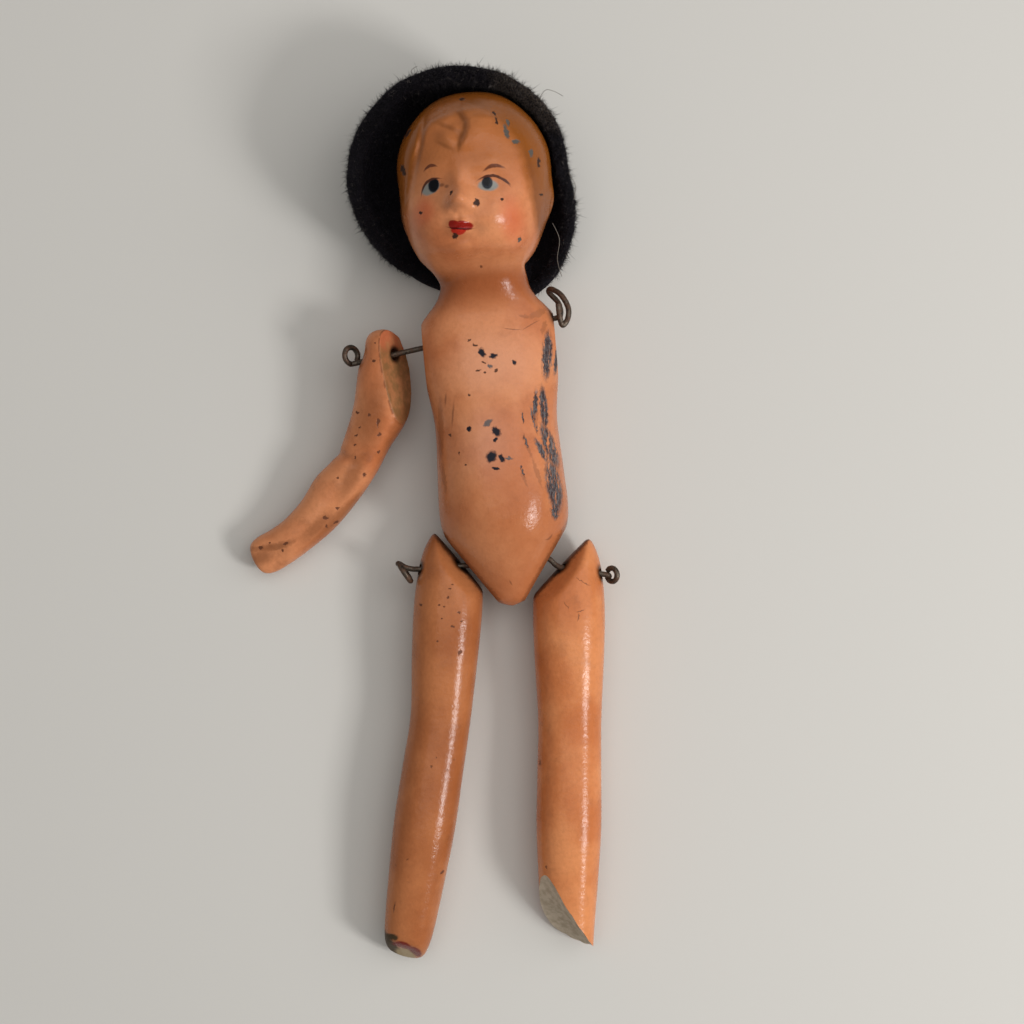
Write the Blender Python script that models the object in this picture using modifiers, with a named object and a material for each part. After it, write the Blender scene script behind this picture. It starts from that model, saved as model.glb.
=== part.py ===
"""Small wire-strung bisque doll, lying on its back in a felt hat.

The head and torso are one casting. The right arm and both legs are castings that turn on two
soft-iron wires with eyes bent in their ends. The left arm is lost and both feet are broken off.
Frame: +X is the viewer's right, +Y runs from the feet to the head, +Z is up from the floor.
Sizes are in metres and written in millimetres times MM.
"""

import math

import bmesh
import bpy
import numpy as np
from mathutils import Matrix, Vector

MM = 0.001

# Where the doll lies: body midline and shoulder line, seen from under the middle of its box.
MIDLINE_X = 9.46 * MM
SHOULDER_LINE_Y = 23.75 * MM

# Stringing wire and the holes it runs in.
WIRE_RADIUS = 0.35 * MM
WIRE_CLEARANCE = 0.35 * MM
BORE_RADIUS = WIRE_RADIUS + WIRE_CLEARANCE
BORE_SIDES = 12
WIRE_BEVEL_STEPS = 1
WIRE_POINTS_PER_SPAN = 3

# Gap between pieces that lie against each other.
SEAT_GAP = 0.35 * MM

# Felt hat.
HAT_WALL = 1.6 * MM
HAT_EASE = 3.0 * MM
HAT_LEFT_GAP = 1.0 * MM
HAT_BASE_RADIUS = 6.0 * MM
HAT_RIM_HEIGHT = 14.0 * MM
HAT_LEVEL_ABOVE_HEAD = 0.5 * MM
HAT_SEGMENTS = 48
HAT_PROFILE_STEPS = 9

# Head, measured on the bare casting.
HEAD_HALF_WIDTH = 9.4 * MM
HEAD_HALF_DEPTH = 9.65 * MM
HEAD_LEVEL_Y = 18.0 * MM
CHIN_Y = 8.2 * MM
CROWN_Y = 28.9 * MM
FACE_SHIFT_X = -1.8 * MM
FACE_TURN = -0.085
HEAD_Z = HAT_WALL + SEAT_GAP + HEAD_HALF_DEPTH

# Neck and torso.
NECK_HALF_WIDTH = 5.45 * MM
NECK_Y = 6.0 * MM
SHOULDER_HALF_WIDTH = 8.85 * MM
SHOULDER_SEAT_X = 8.25 * MM
SHOULDER_Y = -1.4 * MM
WAIST_HALF_WIDTH = 7.7 * MM
WAIST_Y = -11.5 * MM
HIP_HALF_WIDTH = 8.15 * MM
HIP_Y = -22.5 * MM
CROTCH_Y = -34.7 * MM
CHEST_FRONT_Z = 12.9 * MM
BELLY_FRONT_Z = 13.7 * MM
SHOULDER_BACK_Z = 2.1 * MM
WAIST_BACK_Z = 2.3 * MM
HIP_SIDE_Z = 5.6 * MM
SHOULDER_SIDE_Z = 7.6 * MM
NECK_SIDE_Z = 8.6 * MM
BODY_FRONT_SEGMENTS = 30
BODY_BACK_SEGMENTS = 16
BODY_RINGS = 74

# Slanting flats on the underside of the torso, where the legs bear.
HIP_SEAT_TOP_X = 7.95 * MM
HIP_SEAT_TOP_Y = -25.0 * MM
HIP_SEAT_ANGLE = math.radians(34.6)

# Shoulder wire: a straight line that climbs to the doll's left and to its front.
SHOULDER_WIRE_Y = -1.45 * MM
SHOULDER_WIRE_Z = 7.1 * MM
SHOULDER_WIRE_RISE = 0.125
SHOULDER_WIRE_LIFT = 0.11

# Right arm, on the shoulder wire.
ARM_GAP = 3.7 * MM
ARM_HALF_WIDTH = 3.2 * MM
ARM_HALF_DEPTH = 3.1 * MM
WRIST_HALF_WIDTH = 2.5 * MM
ARM_SEAT_NORMAL = Vector((0.875, 0.03, 0.48)).normalized()
ARM_LENGTH = 33.0 * MM
ARM_SEGMENTS = 20
ARM_RINGS = 32
ARM_EYE_RADIUS = 1.05 * MM
ARM_EYE_REACH = 5.5 * MM

# Hip wire and legs.
HIP_WIRE_Y = -29.15 * MM
HIP_WIRE_Z = 5.3 * MM
THIGH_HALF_WIDTH = 4.6 * MM
THIGH_HALF_DEPTH = 4.25 * MM
KNEE_HALF_WIDTH = 4.05 * MM
CALF_HALF_WIDTH = 4.15 * MM
CALF_HALF_DEPTH = 3.95 * MM
ANKLE_HALF_WIDTH = 3.3 * MM
ANKLE_HALF_DEPTH = 3.05 * MM
LEG_KNEE = 19.5 * MM
LEG_CALF = 33.0 * MM
LEG_END = 52.0 * MM
LEG_FLOOR_GAP = 0.05 * MM
LEG_SEAT_ANGLE = math.radians(44.0)
LEG_RELIEF_ANGLE = math.radians(36.0)
LEG_RELIEF_ABOVE_WIRE = 0.2 * MM
LEG_SEGMENTS = 22
LEG_RINGS = 40
LEG_EYE_STANDOFF = 0.55 * MM
RIGHT_LEG_MOUTH_GAP = 0.75 * MM
RIGHT_LEG_OFFSET = 1.45 * MM
RIGHT_LEG_SLIM = 0.955
RIGHT_LEG_LEAN = math.radians(9.0)
RIGHT_SHIN_LEAN = math.radians(13.5)
RIGHT_LEG_EYE_RADIUS = 1.3 * MM
LEFT_LEG_MOUTH_GAP = 1.3 * MM
LEFT_LEG_OFFSET = 1.15 * MM
LEFT_LEG_DROP = 1.35 * MM
LEFT_LEG_LEAN = math.radians(-4.5)
LEFT_SHIN_LEAN = math.radians(-5.5)
LEFT_WIRE_DIP = math.radians(13.2)
LEFT_LEG_EYE_RADIUS = 0.85 * MM
LEFT_LEG_UNBROKEN = 56.0 * MM

# Breaks: a point on each break, measured down the leg and out from its middle, and its facing.
LEFT_BREAK_DOWN = LEG_END - 9.7 * MM
LEFT_BREAK_OUT = -0.55 * MM
LEFT_BREAK_Z = 7.0 * MM
LEFT_BREAK_NORMAL = Vector((-0.68, -0.59, 0.43)).normalized()
RIGHT_BREAK_DOWN = LEG_END - 3.1 * MM
RIGHT_BREAK_Z = 5.0 * MM
RIGHT_BREAK_NORMAL = Vector((-0.30, -0.80, 0.52)).normalized()

CUTTER_SIZE = 40.0 * MM

COLOURS = {
    "bisque": ((0.50, 0.21, 0.095), 0.35, 0.0),
    "wire": ((0.09, 0.07, 0.055), 0.5, 0.9),
    "felt": ((0.012, 0.010, 0.016), 0.95, 0.0),
}


def clear_scene():
    """Removes every object that the file starts with."""
    for obj in list(bpy.data.objects):
        bpy.data.objects.remove(obj)


def new_collection(name):
    """A new collection in the scene."""
    collection = bpy.data.collections.new(name)
    bpy.context.scene.collection.children.link(collection)
    return collection


def new_material(name):
    """A Principled material with a colour, a roughness and a metallic value."""
    colour, roughness, metallic = COLOURS[name]
    material = bpy.data.materials.new(name)
    material.use_nodes = True
    shader = material.node_tree.nodes["Principled BSDF"]
    shader.inputs["Base Color"].default_value = (*colour, 1.0)
    shader.inputs["Roughness"].default_value = roughness
    shader.inputs["Metallic"].default_value = metallic
    return material


def new_piece(name, mesh, collection, parent, material, origin):
    """A piece of the doll whose object sits at origin, with its mesh given in the doll's frame."""
    mesh.transform(Matrix.Translation(-Vector(origin)))
    obj = bpy.data.objects.new(name, mesh)
    obj.location = origin
    obj.parent = parent
    obj.data.materials.append(material)
    collection.objects.link(obj)
    return obj


def curve_through(rows, position):
    """The row at a fractional index on a smooth Catmull-Rom curve through the listed rows."""
    rows = np.asarray(rows, float)
    first = int(min(max(math.floor(position), 0), len(rows) - 2))
    t = position - first
    before = rows[max(first - 1, 0)]
    start = rows[first]
    end = rows[first + 1]
    after = rows[min(first + 2, len(rows) - 1)]
    slope_in = (end - before) / 2
    slope_out = (after - start) / 2
    t2 = t * t
    t3 = t2 * t
    return (
        (2 * t3 - 3 * t2 + 1) * start
        + (t3 - 2 * t2 + t) * slope_in
        + (3 * t2 - 2 * t3) * end
        + (t3 - t2) * slope_out
    )


def resample(rows, count):
    """count rows, evenly spread by index along the smooth curve through the listed rows."""
    last = len(rows) - 1
    return np.array([curve_through(rows, last * i / (count - 1)) for i in range(count)])


def smooth_path(points, per_span):
    """Points on the smooth curve through a wire's own points."""
    return [Vector(p) for p in resample(points, per_span * (len(points) - 1) + 1)]


def rounded(angle, squareness):
    """Cosine and sine of an angle on a superellipse; a squareness of 2 gives a circle."""
    power = 2.0 / squareness
    c = math.cos(angle)
    s = math.sin(angle)
    return math.copysign(abs(c) ** power, c), math.copysign(abs(s) ** power, s)


def skin_rings(name, rings, first_pole, last_pole):
    """A closed mesh over a list of rings of points, drawn to a pole at either end."""
    bm = bmesh.new()
    loops = [[bm.verts.new(p) for p in ring] for ring in rings]
    for lower, upper in zip(loops, loops[1:]):
        for i in range(len(lower)):
            j = (i + 1) % len(lower)
            bm.faces.new((lower[i], lower[j], upper[j], upper[i]))
    for loop, pole in ((loops[0], first_pole), (loops[-1], last_pole)):
        tip = bm.verts.new(pole)
        for i in range(len(loop)):
            bm.faces.new((loop[i], loop[(i + 1) % len(loop)], tip))
    bmesh.ops.recalc_face_normals(bm, faces=bm.faces)
    mesh = bpy.data.meshes.new(name)
    bm.to_mesh(mesh)
    bm.free()
    mesh.shade_smooth()
    return mesh


def limb_mesh(name, rows, ring_count, segments):
    """A limb as a loft along its middle line: rows of x, y, z, half width, depth up, depth down."""
    fine = resample(rows, ring_count)
    middle = fine[:, :3]
    rings = []
    for i in range(1, ring_count - 1):
        along = Vector(middle[i + 1] - middle[i - 1]).normalized()
        side = along.cross(Vector((0, 0, 1))).normalized()
        up = side.cross(along)
        half_width, depth_up, depth_down = np.maximum(fine[i, 3:6], 0.05 * MM)
        ring = []
        for k in range(segments):
            c, s = rounded(2 * math.pi * k / segments, 2.15)
            depth = depth_up if s > 0 else depth_down
            ring.append(Vector(middle[i]) + side * (c * half_width) + up * (s * depth))
        rings.append(ring)
    return skin_rings(name, rings, middle[0], middle[-1])


def wire_object(name, points, collection, parent, material, origin):
    """A round wire along its points, with closed ends."""
    curve = bpy.data.curves.new(name, "CURVE")
    curve.dimensions = "3D"
    curve.bevel_depth = WIRE_RADIUS
    curve.bevel_resolution = WIRE_BEVEL_STEPS
    curve.use_fill_caps = True
    spline = curve.splines.new("POLY")
    spline.points.add(len(points) - 1)
    for slot, p in zip(spline.points, points):
        slot.co = (*(Vector(p) - Vector(origin)), 1.0)
        slot.radius = 1.0
    obj = bpy.data.objects.new(name, curve)
    obj.location = origin
    obj.parent = parent
    curve.materials.append(material)
    collection.objects.link(obj)
    return obj


def hide_cutter(obj, collection, parent):
    """Keeps a cutter out of renders and out of the list of pieces."""
    for holder in list(obj.users_collection):
        holder.objects.unlink(obj)
    collection.objects.link(obj)
    obj.parent = parent
    obj.hide_render = True
    obj.display_type = "WIRE"
    return obj


def plane_cutter(name, point, normal, collection, parent):
    """A block that removes everything on the far side of a plane."""
    bpy.ops.mesh.primitive_cube_add(size=CUTTER_SIZE)
    obj = bpy.context.object
    obj.name = name
    normal = Vector(normal).normalized()
    obj.location = Vector(point) + normal * (CUTTER_SIZE / 2)
    obj.rotation_euler = normal.to_track_quat("Z", "Y").to_euler()
    return hide_cutter(obj, collection, parent)


def bore_cutter(name, start, end, collection, parent):
    """A rod that drills a wire's hole from one point to another."""
    start = Vector(start)
    end = Vector(end)
    bpy.ops.mesh.primitive_cylinder_add(
        vertices=BORE_SIDES, radius=BORE_RADIUS, depth=(end - start).length
    )
    obj = bpy.context.object
    obj.name = name
    obj.location = (start + end) / 2
    obj.rotation_euler = (end - start).to_track_quat("Z", "Y").to_euler()
    return hide_cutter(obj, collection, parent)


def cut(piece, cutter):
    """Takes a cutter out of a piece."""
    modifier = piece.modifiers.new(cutter.name, "BOOLEAN")
    modifier.operation = "DIFFERENCE"
    modifier.solver = "EXACT"
    modifier.object = cutter


# Head and torso: rows of y, x of the middle, half width, z of the side, z of the front, z of the back.


def torso_rows():
    """Sections of the torso from the crotch to the neck."""
    rows = []
    fork = (
        (0.00, 0.02, 0.02, 0.05),
        (0.06, 0.245, 0.20, 0.42),
        (0.18, 0.37, 0.36, 0.62),
        (0.36, 0.555, 0.56, 0.80),
        (0.56, 0.76, 0.75, 0.91),
        (0.76, 0.94, 0.90, 0.97),
        (1.00, 1.00, 0.975, 0.985),
    )
    for level, width, front, back in fork:
        y = CROTCH_Y + level * (HIP_Y - CROTCH_Y)
        front_z = HIP_SIDE_Z + front * (BELLY_FRONT_Z - HIP_SIDE_Z)
        rows.append((y, 0, width * HIP_HALF_WIDTH, HIP_SIDE_Z, front_z, HIP_SIDE_Z * (1 - back)))
    waist_side = (HIP_SIDE_Z + SHOULDER_SIDE_Z) / 2
    small_of_back = (HIP_Y + WAIST_Y) / 2
    belly_width = (HIP_HALF_WIDTH + WAIST_HALF_WIDTH) / 2
    chest_y = (WAIST_Y + SHOULDER_Y) / 2
    chest_width = (WAIST_HALF_WIDTH + SHOULDER_HALF_WIDTH) / 2
    neck_back = SHOULDER_BACK_Z * 1.81
    slope = NECK_Y - SHOULDER_Y
    flare = SHOULDER_HALF_WIDTH - NECK_HALF_WIDTH
    rows += [
        (small_of_back, 0, belly_width, HIP_SIDE_Z, BELLY_FRONT_Z, WAIST_BACK_Z * 0.35),
        (WAIST_Y, 0, WAIST_HALF_WIDTH, waist_side, BELLY_FRONT_Z * 0.965, WAIST_BACK_Z),
        (chest_y, 0, chest_width, SHOULDER_SIDE_Z, CHEST_FRONT_Z, WAIST_BACK_Z),
        (SHOULDER_Y, 0, SHOULDER_HALF_WIDTH, SHOULDER_SIDE_Z, CHEST_FRONT_Z, SHOULDER_BACK_Z),
    ]
    collar = (
        (0.34, 0.86, 0.25, 0.975),
        (0.52, 0.58, 0.40, 0.990),
        (0.66, 0.30, 0.60, 1.020),
        (0.82, 0.09, 0.80, 1.060),
    )
    for level, spread, blend, front in collar:
        side = SHOULDER_SIDE_Z + blend * (NECK_SIDE_Z - SHOULDER_SIDE_Z)
        back = SHOULDER_BACK_Z + blend * (neck_back - SHOULDER_BACK_Z)
        half_width = NECK_HALF_WIDTH + spread * flare
        rows.append((SHOULDER_Y + level * slope, 0, half_width, side, CHEST_FRONT_Z * front, back))
    rows.append((NECK_Y, 0, NECK_HALF_WIDTH, NECK_SIDE_Z, CHEST_FRONT_Z * 1.12, neck_back))
    return rows


def head_rows():
    """Sections of the head from under the jaw to the crown, as shares of the head's own sizes."""
    shares = (
        (-0.045, -0.05, 0.605, 0.45, 0.850),
        (0.000, -0.05, 0.690, 0.66, 0.865),
        (0.050, -0.05, 0.775, 0.83, 0.890),
        (0.152, -0.04, 0.880, 0.933, 0.943),
        (0.290, -0.02, 0.960, 0.974, 0.984),
        (0.452, 0.00, 1.000, 1.000, 1.000),
        (0.613, 0.00, 0.995, 0.985, 0.974),
        (0.751, 0.00, 0.885, 0.860, 0.870),
        (0.866, 0.00, 0.700, 0.640, 0.684),
        (0.945, 0.00, 0.490, 0.410, 0.456),
        (0.986, 0.00, 0.270, 0.200, 0.228),
        (1.000, 0.00, 0.020, 0.010, 0.010),
    )
    rows = []
    for level, shift, width, front, back in shares:
        y = CHIN_Y + level * (CROWN_Y - CHIN_Y)
        front_z = HEAD_Z + front * HEAD_HALF_DEPTH
        back_z = HEAD_Z - back * HEAD_HALF_DEPTH
        rows.append((y, shift * HEAD_HALF_WIDTH, width * HEAD_HALF_WIDTH, HEAD_Z, front_z, back_z))
    return rows


def face_middle(y):
    """The face's own midline, which leans because the head is turned to the doll's right."""
    return FACE_SHIFT_X - FACE_TURN * (y - HEAD_LEVEL_Y)


# Modelled relief of the face: across from the face's midline, y, spread across, spread up, height.
FACE_RELIEF = (
    (0.0, 14.3, 1.00, 0.95, 1.75),
    (0.0, 16.3, 0.75, 1.50, 0.55),
    (-0.95, 13.9, 0.55, 0.50, 0.40),
    (0.95, 13.9, 0.55, 0.50, 0.40),
    (-3.4, 16.3, 1.55, 1.00, -0.65),
    (3.4, 16.2, 1.55, 1.00, -0.65),
    (-3.4, 16.3, 0.85, 0.70, 0.35),
    (3.4, 16.2, 0.85, 0.70, 0.35),
    (-3.4, 18.6, 1.70, 0.70, 0.25),
    (3.4, 18.4, 1.70, 0.70, 0.25),
    (-3.9, 12.6, 1.70, 1.70, 0.50),
    (3.9, 12.4, 1.70, 1.70, 0.50),
    (-0.45, 11.65, 0.65, 0.42, 0.50),
    (0.45, 11.65, 0.65, 0.42, 0.50),
    (0.0, 10.70, 0.85, 0.38, 0.50),
    (0.0, 9.85, 1.20, 0.40, -0.35),
    (0.0, 8.80, 1.40, 0.95, 0.55),
)

# Moulded forelock: points of the lock's spine, across from the face's midline and y.
FORELOCK = ((-2.6, 23.3), (-1.2, 24.3), (0.4, 24.0), (0.9, 22.6), (0.4, 21.2), (-0.3, 20.3))
FORELOCK_WIDTH = 0.85
FORELOCK_HEIGHT = 0.42
HAIR_HEIGHT = 0.40
EAR_Y = 14.5
LEFT_EAR_Z = 1.2
RIGHT_EAR_Z = -2.5
EAR_HEIGHT = 0.55


def bump(distance):
    """A smooth bell of unit height."""
    return math.exp(-0.5 * distance * distance)


def step(value, low, high):
    """A smooth rise from 0 at low to 1 at high."""
    t = min(max((value - low) / (high - low), 0.0), 1.0)
    return t * t * (3 - 2 * t)


def hairline(across):
    """Height of the front hairline, in millimetres, at a distance from the face's midline."""
    return 22.6 - 0.030 * across * across - 0.0016 * across**4


def lock_distance(across, y):
    """Distance from a point on the forehead to the forelock's spine."""
    return min(math.hypot(across - a, y - b) for a, b in resample(FORELOCK, 16))


def face_lift(across, y):
    """How far the front of the head stands out from its plain section, all in millimetres."""
    lift = sum(h * bump(math.hypot((across - x) / sx, (y - v) / sy)) for x, v, sx, sy, h in FACE_RELIEF)
    lift += HAIR_HEIGHT * step(y, hairline(across) - 0.5, hairline(across) + 0.7)
    lift += FORELOCK_HEIGHT * bump(lock_distance(across, y) / FORELOCK_WIDTH)
    return lift


def relieved(point):
    """A point of the plain casting moved out to the modelled face, hair and ears."""
    x, y, z = point
    if y < CHIN_Y - 1.5 * MM:
        return point
    scale = HEAD_HALF_WIDTH / (9.5 * MM)
    across = (x - face_middle(y)) / MM / scale
    level = HEAD_LEVEL_Y / MM + (y - HEAD_LEVEL_Y) / MM / scale
    front = step((z - HEAD_Z) / HEAD_HALF_DEPTH, 0.20, 0.62)
    lift = face_lift(across, level) * MM * scale * front
    ear_z = LEFT_EAR_Z if x > 0 else RIGHT_EAR_Z
    ear = math.hypot((level - EAR_Y) / 1.5, ((z - HEAD_Z) / MM / scale - ear_z) / 0.95)
    ear_lift = math.copysign(EAR_HEIGHT * bump(ear) * MM * scale, x)
    return Vector((x + ear_lift, y, z + lift))


def body_angles():
    """Angles round the body, closer together over the front, where the face is."""
    front = [math.pi * k / BODY_FRONT_SEGMENTS for k in range(BODY_FRONT_SEGMENTS)]
    back = [math.pi * (1 + k / BODY_BACK_SEGMENTS) for k in range(BODY_BACK_SEGMENTS)]
    return front + back


def body_mesh():
    """Head and torso in one skin, with flat seats on the shoulders for the arms."""
    fine = resample(torso_rows() + head_rows(), BODY_RINGS)
    rings = []
    for y, middle, half_width, side, front, back in fine[1:-1]:
        half_width = max(half_width, 0.1 * MM)
        squareness = 2.0 + 0.25 * step(y, HIP_SEAT_TOP_Y, HIP_Y + 2 * MM)
        ring = []
        for angle in body_angles():
            c, s = rounded(angle, squareness)
            depth = front - side if s > 0 else side - back
            x = middle + c * half_width
            if y < NECK_Y:
                x = min(max(x, -SHOULDER_SEAT_X), SHOULDER_SEAT_X)
            ring.append(relieved(Vector((x, y, side + s * depth))))
        rings.append(ring)
    first_pole = (0, fine[0][0], fine[0][3])
    last_pole = (0, fine[-1][0], fine[-1][3])
    return skin_rings("head_torso", rings, first_pole, last_pole)


def shoulder_wire_at(x):
    """The point of the shoulder wire's straight run at a distance across the body."""
    run = x + SHOULDER_SEAT_X
    return Vector((x, SHOULDER_WIRE_Y + run * SHOULDER_WIRE_RISE, SHOULDER_WIRE_Z + run * SHOULDER_WIRE_LIFT))


def hip_seat_x(y):
    """Half width of the torso between its two hip seats at a height."""
    return HIP_SEAT_TOP_X + (y - HIP_SEAT_TOP_Y) * math.tan(HIP_SEAT_ANGLE)


def build_head_torso(kit):
    """The head and torso casting, with its hip seats and its two wire holes."""
    piece = new_piece("head_torso", body_mesh(), kit.parts, kit.doll, kit.bisque, (0, 0, 0))
    for name, sign in (("right", -1), ("left", 1)):
        point = (sign * HIP_SEAT_TOP_X, HIP_SEAT_TOP_Y, HIP_SIDE_Z)
        normal = (sign * math.cos(HIP_SEAT_ANGLE), -math.sin(HIP_SEAT_ANGLE), 0)
        cut(piece, plane_cutter(f"hip_seat_{name}", point, normal, kit.cutters, kit.doll))
    past = SHOULDER_SEAT_X + 3 * MM
    shoulder_bore = (shoulder_wire_at(-past), shoulder_wire_at(past))
    cut(piece, bore_cutter("shoulder_bore", *shoulder_bore, kit.cutters, kit.doll))
    half = HIP_HALF_WIDTH + 2 * MM
    hip_bore = ((-half, HIP_WIRE_Y, HIP_WIRE_Z), (half, HIP_WIRE_Y, HIP_WIRE_Z))
    cut(piece, bore_cutter("hip_bore", *hip_bore, kit.cutters, kit.doll))
    return piece


# Right arm.


def arm_pivot():
    """Where the arm's inner face meets the shoulder wire."""
    return shoulder_wire_at(-SHOULDER_SEAT_X - ARM_GAP)


def arm_rows():
    """The arm's middle line from the top of the shoulder to the finger tips, with its half sizes."""
    pivot = arm_pivot()
    unit = ARM_LENGTH / 33.0
    outline = (
        (-1.05, 3.25, 0.35, 0.02, 0.02),
        (-1.10, 2.90, 0.35, 0.42, 0.42),
        (-1.15, 2.10, 0.30, 0.73, 0.72),
        (-0.95, 0.60, 0.15, 0.90, 0.92),
        (-1.05, -2.10, -0.40, 1.17, 1.04),
        (-2.40, -6.70, -1.20, 1.10, 1.00),
        (-4.25, -10.0, -1.90, 0.93, 0.95),
        (-6.05, -13.1, -2.50, 0.86, 0.90),
    )
    forearm = (
        (-8.75, -16.4, -3.10, 1.08, 1.08),
        (-11.65, -19.2, -3.60, 1.08, 1.04),
        (-14.65, -21.5, -4.05, 1.00, 0.97),
        (-17.05, -22.9, -4.40, 1.00, 0.92),
        (-18.815, -23.70, -4.52, 1.00, 0.84),
        (-20.065, -24.20, -4.64, 0.76, 0.64),
        (-20.565, -24.40, -4.70, 0.02, 0.02),
    )
    rows = []
    for table, width, depth in (
        (outline, ARM_HALF_WIDTH, ARM_HALF_DEPTH),
        (forearm, WRIST_HALF_WIDTH, WRIST_HALF_WIDTH * 0.97),
    ):
        for dx, dy, dz, share_width, share_depth in table:
            middle = pivot + Vector((dx, dy, dz)) * unit
            rows.append((*middle, width * share_width, depth * share_depth, depth * share_depth))
    return rows


def build_right_arm(kit):
    """The bent right arm: flat where it faces the shoulder, drilled for the wire."""
    pivot = arm_pivot()
    mesh = limb_mesh("right_arm", arm_rows(), ARM_RINGS, ARM_SEGMENTS)
    piece = new_piece("right_arm", mesh, kit.parts, kit.doll, kit.bisque, pivot)
    cut(piece, plane_cutter("arm_seat", pivot, ARM_SEAT_NORMAL, kit.cutters, kit.doll))
    reach = 3 * ARM_HALF_WIDTH
    bore = (shoulder_wire_at(pivot.x - reach), shoulder_wire_at(pivot.x + ARM_GAP / 2))
    cut(piece, bore_cutter("arm_bore", *bore, kit.cutters, kit.doll))
    return piece


# Legs. side is -1 for the right leg, on the viewer's left, and 1 for the left leg.


def leg_mouth(side):
    """Where the hip wire enters a leg's slanting inner face."""
    seat = hip_seat_x(HIP_WIRE_Y)
    if side < 0:
        return Vector((-seat - RIGHT_LEG_MOUTH_GAP, HIP_WIRE_Y, HIP_WIRE_Z))
    return Vector((seat + LEFT_LEG_MOUTH_GAP, HIP_WIRE_Y - LEFT_LEG_DROP, HIP_WIRE_Z))


def leg_wire_direction(side):
    """The way that the hip wire runs through a leg, from its inner face outwards."""
    if side < 0:
        return Vector((-1, 0, 0))
    return Vector((math.cos(LEFT_WIRE_DIP), -math.sin(LEFT_WIRE_DIP), 0))


def leg_leans(side):
    """How far the thigh and the shin lean out from the body's own line."""
    if side < 0:
        return RIGHT_LEG_LEAN, RIGHT_SHIN_LEAN
    return LEFT_LEG_LEAN, LEFT_SHIN_LEAN


def leg_direction(side, lean):
    """Unit vector down a leg that leans out by an angle."""
    return Vector((side * math.sin(lean), -math.cos(lean), 0))


def leg_middle(side, down):
    """A point of the leg's middle line at a distance down from the mouth of its wire hole."""
    thigh_lean, shin_lean = leg_leans(side)
    thigh = leg_direction(side, thigh_lean)
    shin = leg_direction(side, shin_lean)
    outward = Vector((-thigh.y * side, thigh.x * side, 0))
    offset = RIGHT_LEG_OFFSET if side < 0 else LEFT_LEG_OFFSET
    start = leg_mouth(side) + outward * offset
    point = start + thigh * min(down, LEG_KNEE) + shin * max(down - LEG_KNEE, 0.0)
    return Vector((point.x, point.y, 0))


def leg_rows(side):
    """The leg's middle line with its half sizes, from the top of the thigh to where it ends."""
    unit = LEG_KNEE / 19.5
    thigh = (
        (-5.2, 0.02, 0.02),
        (-4.7, 0.34, 0.32),
        (-3.3, 0.66, 0.65),
        (-0.9, 0.87, 0.87),
        (2.4, 0.97, 0.97),
        (6.5, 1.00, 1.00),
        (12.0, 0.96, 0.97),
    )
    sizes = [(d * unit, w * THIGH_HALF_WIDTH, h * THIGH_HALF_DEPTH) for d, w, h in thigh]
    sizes += [
        (LEG_KNEE, KNEE_HALF_WIDTH, CALF_HALF_DEPTH * 0.97),
        ((LEG_KNEE + LEG_CALF) / 2, (KNEE_HALF_WIDTH + CALF_HALF_WIDTH) / 2, CALF_HALF_DEPTH * 0.99),
        (LEG_CALF, CALF_HALF_WIDTH, CALF_HALF_DEPTH),
    ]
    calf_to_ankle = ((0.36, 0.40), (0.66, 0.85))
    for share, blend in calf_to_ankle:
        width = CALF_HALF_WIDTH + blend * (ANKLE_HALF_WIDTH - CALF_HALF_WIDTH)
        depth = CALF_HALF_DEPTH + blend * (ANKLE_HALF_DEPTH - CALF_HALF_DEPTH)
        sizes.append((LEG_CALF + share * (LEG_END - LEG_CALF), width, depth))
    end = LEG_END if side < 0 else LEFT_LEG_UNBROKEN
    stump = ((3.6, 0.92), (1.5, 0.68), (0.4, 0.34), (0.0, 0.02))
    for before_end, share in stump:
        sizes.append((end - before_end * unit, ANKLE_HALF_WIDTH * share, ANKLE_HALF_DEPTH * share))
    rows = []
    for down, half_width, half_depth in sizes:
        middle = leg_middle(side, down)
        low = LEG_FLOOR_GAP + (CALF_HALF_DEPTH - min(half_depth, CALF_HALF_DEPTH)) * 0.55
        half_width *= RIGHT_LEG_SLIM if side < 0 else 1.0
        rows.append((middle.x, middle.y, low + half_depth, half_width, half_depth, half_depth))
    return rows


def build_leg(kit, name, side):
    """A leg cut flat where it faces the hip, drilled for the wire and broken off at the ankle."""
    mouth = leg_mouth(side)
    mesh = limb_mesh(name, leg_rows(side), LEG_RINGS, LEG_SEGMENTS)
    piece = new_piece(name, mesh, kit.parts, kit.doll, kit.bisque, mouth)
    seat_lean = LEG_SEAT_ANGLE - leg_leans(side)[0]
    seat_normal = Vector((-side * math.cos(seat_lean), math.sin(seat_lean), 0))
    cut(piece, plane_cutter(f"{name}_seat", mouth, seat_normal, kit.cutters, kit.doll))
    up = Vector((0, 0, 1))
    relief_point = mouth + up * LEG_RELIEF_ABOVE_WIRE
    relief_normal = seat_normal * math.cos(LEG_RELIEF_ANGLE) + up * math.sin(LEG_RELIEF_ANGLE)
    cut(piece, plane_cutter(f"{name}_relief", relief_point, relief_normal, kit.cutters, kit.doll))
    wire = leg_wire_direction(side)
    bore = (mouth - wire * THIGH_HALF_WIDTH, mouth + wire * (3 * THIGH_HALF_WIDTH))
    cut(piece, bore_cutter(f"{name}_bore", *bore, kit.cutters, kit.doll))
    if side < 0:
        point = leg_middle(side, RIGHT_BREAK_DOWN)
        point.z = RIGHT_BREAK_Z
        normal = RIGHT_BREAK_NORMAL
    else:
        point = leg_middle(side, LEFT_BREAK_DOWN) + Vector((LEFT_BREAK_OUT, 0, 0))
        point.z = LEFT_BREAK_Z
        normal = LEFT_BREAK_NORMAL
    cut(piece, plane_cutter(f"{name}_break", point, normal, kit.cutters, kit.doll))
    return piece


# Wires.


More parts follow.
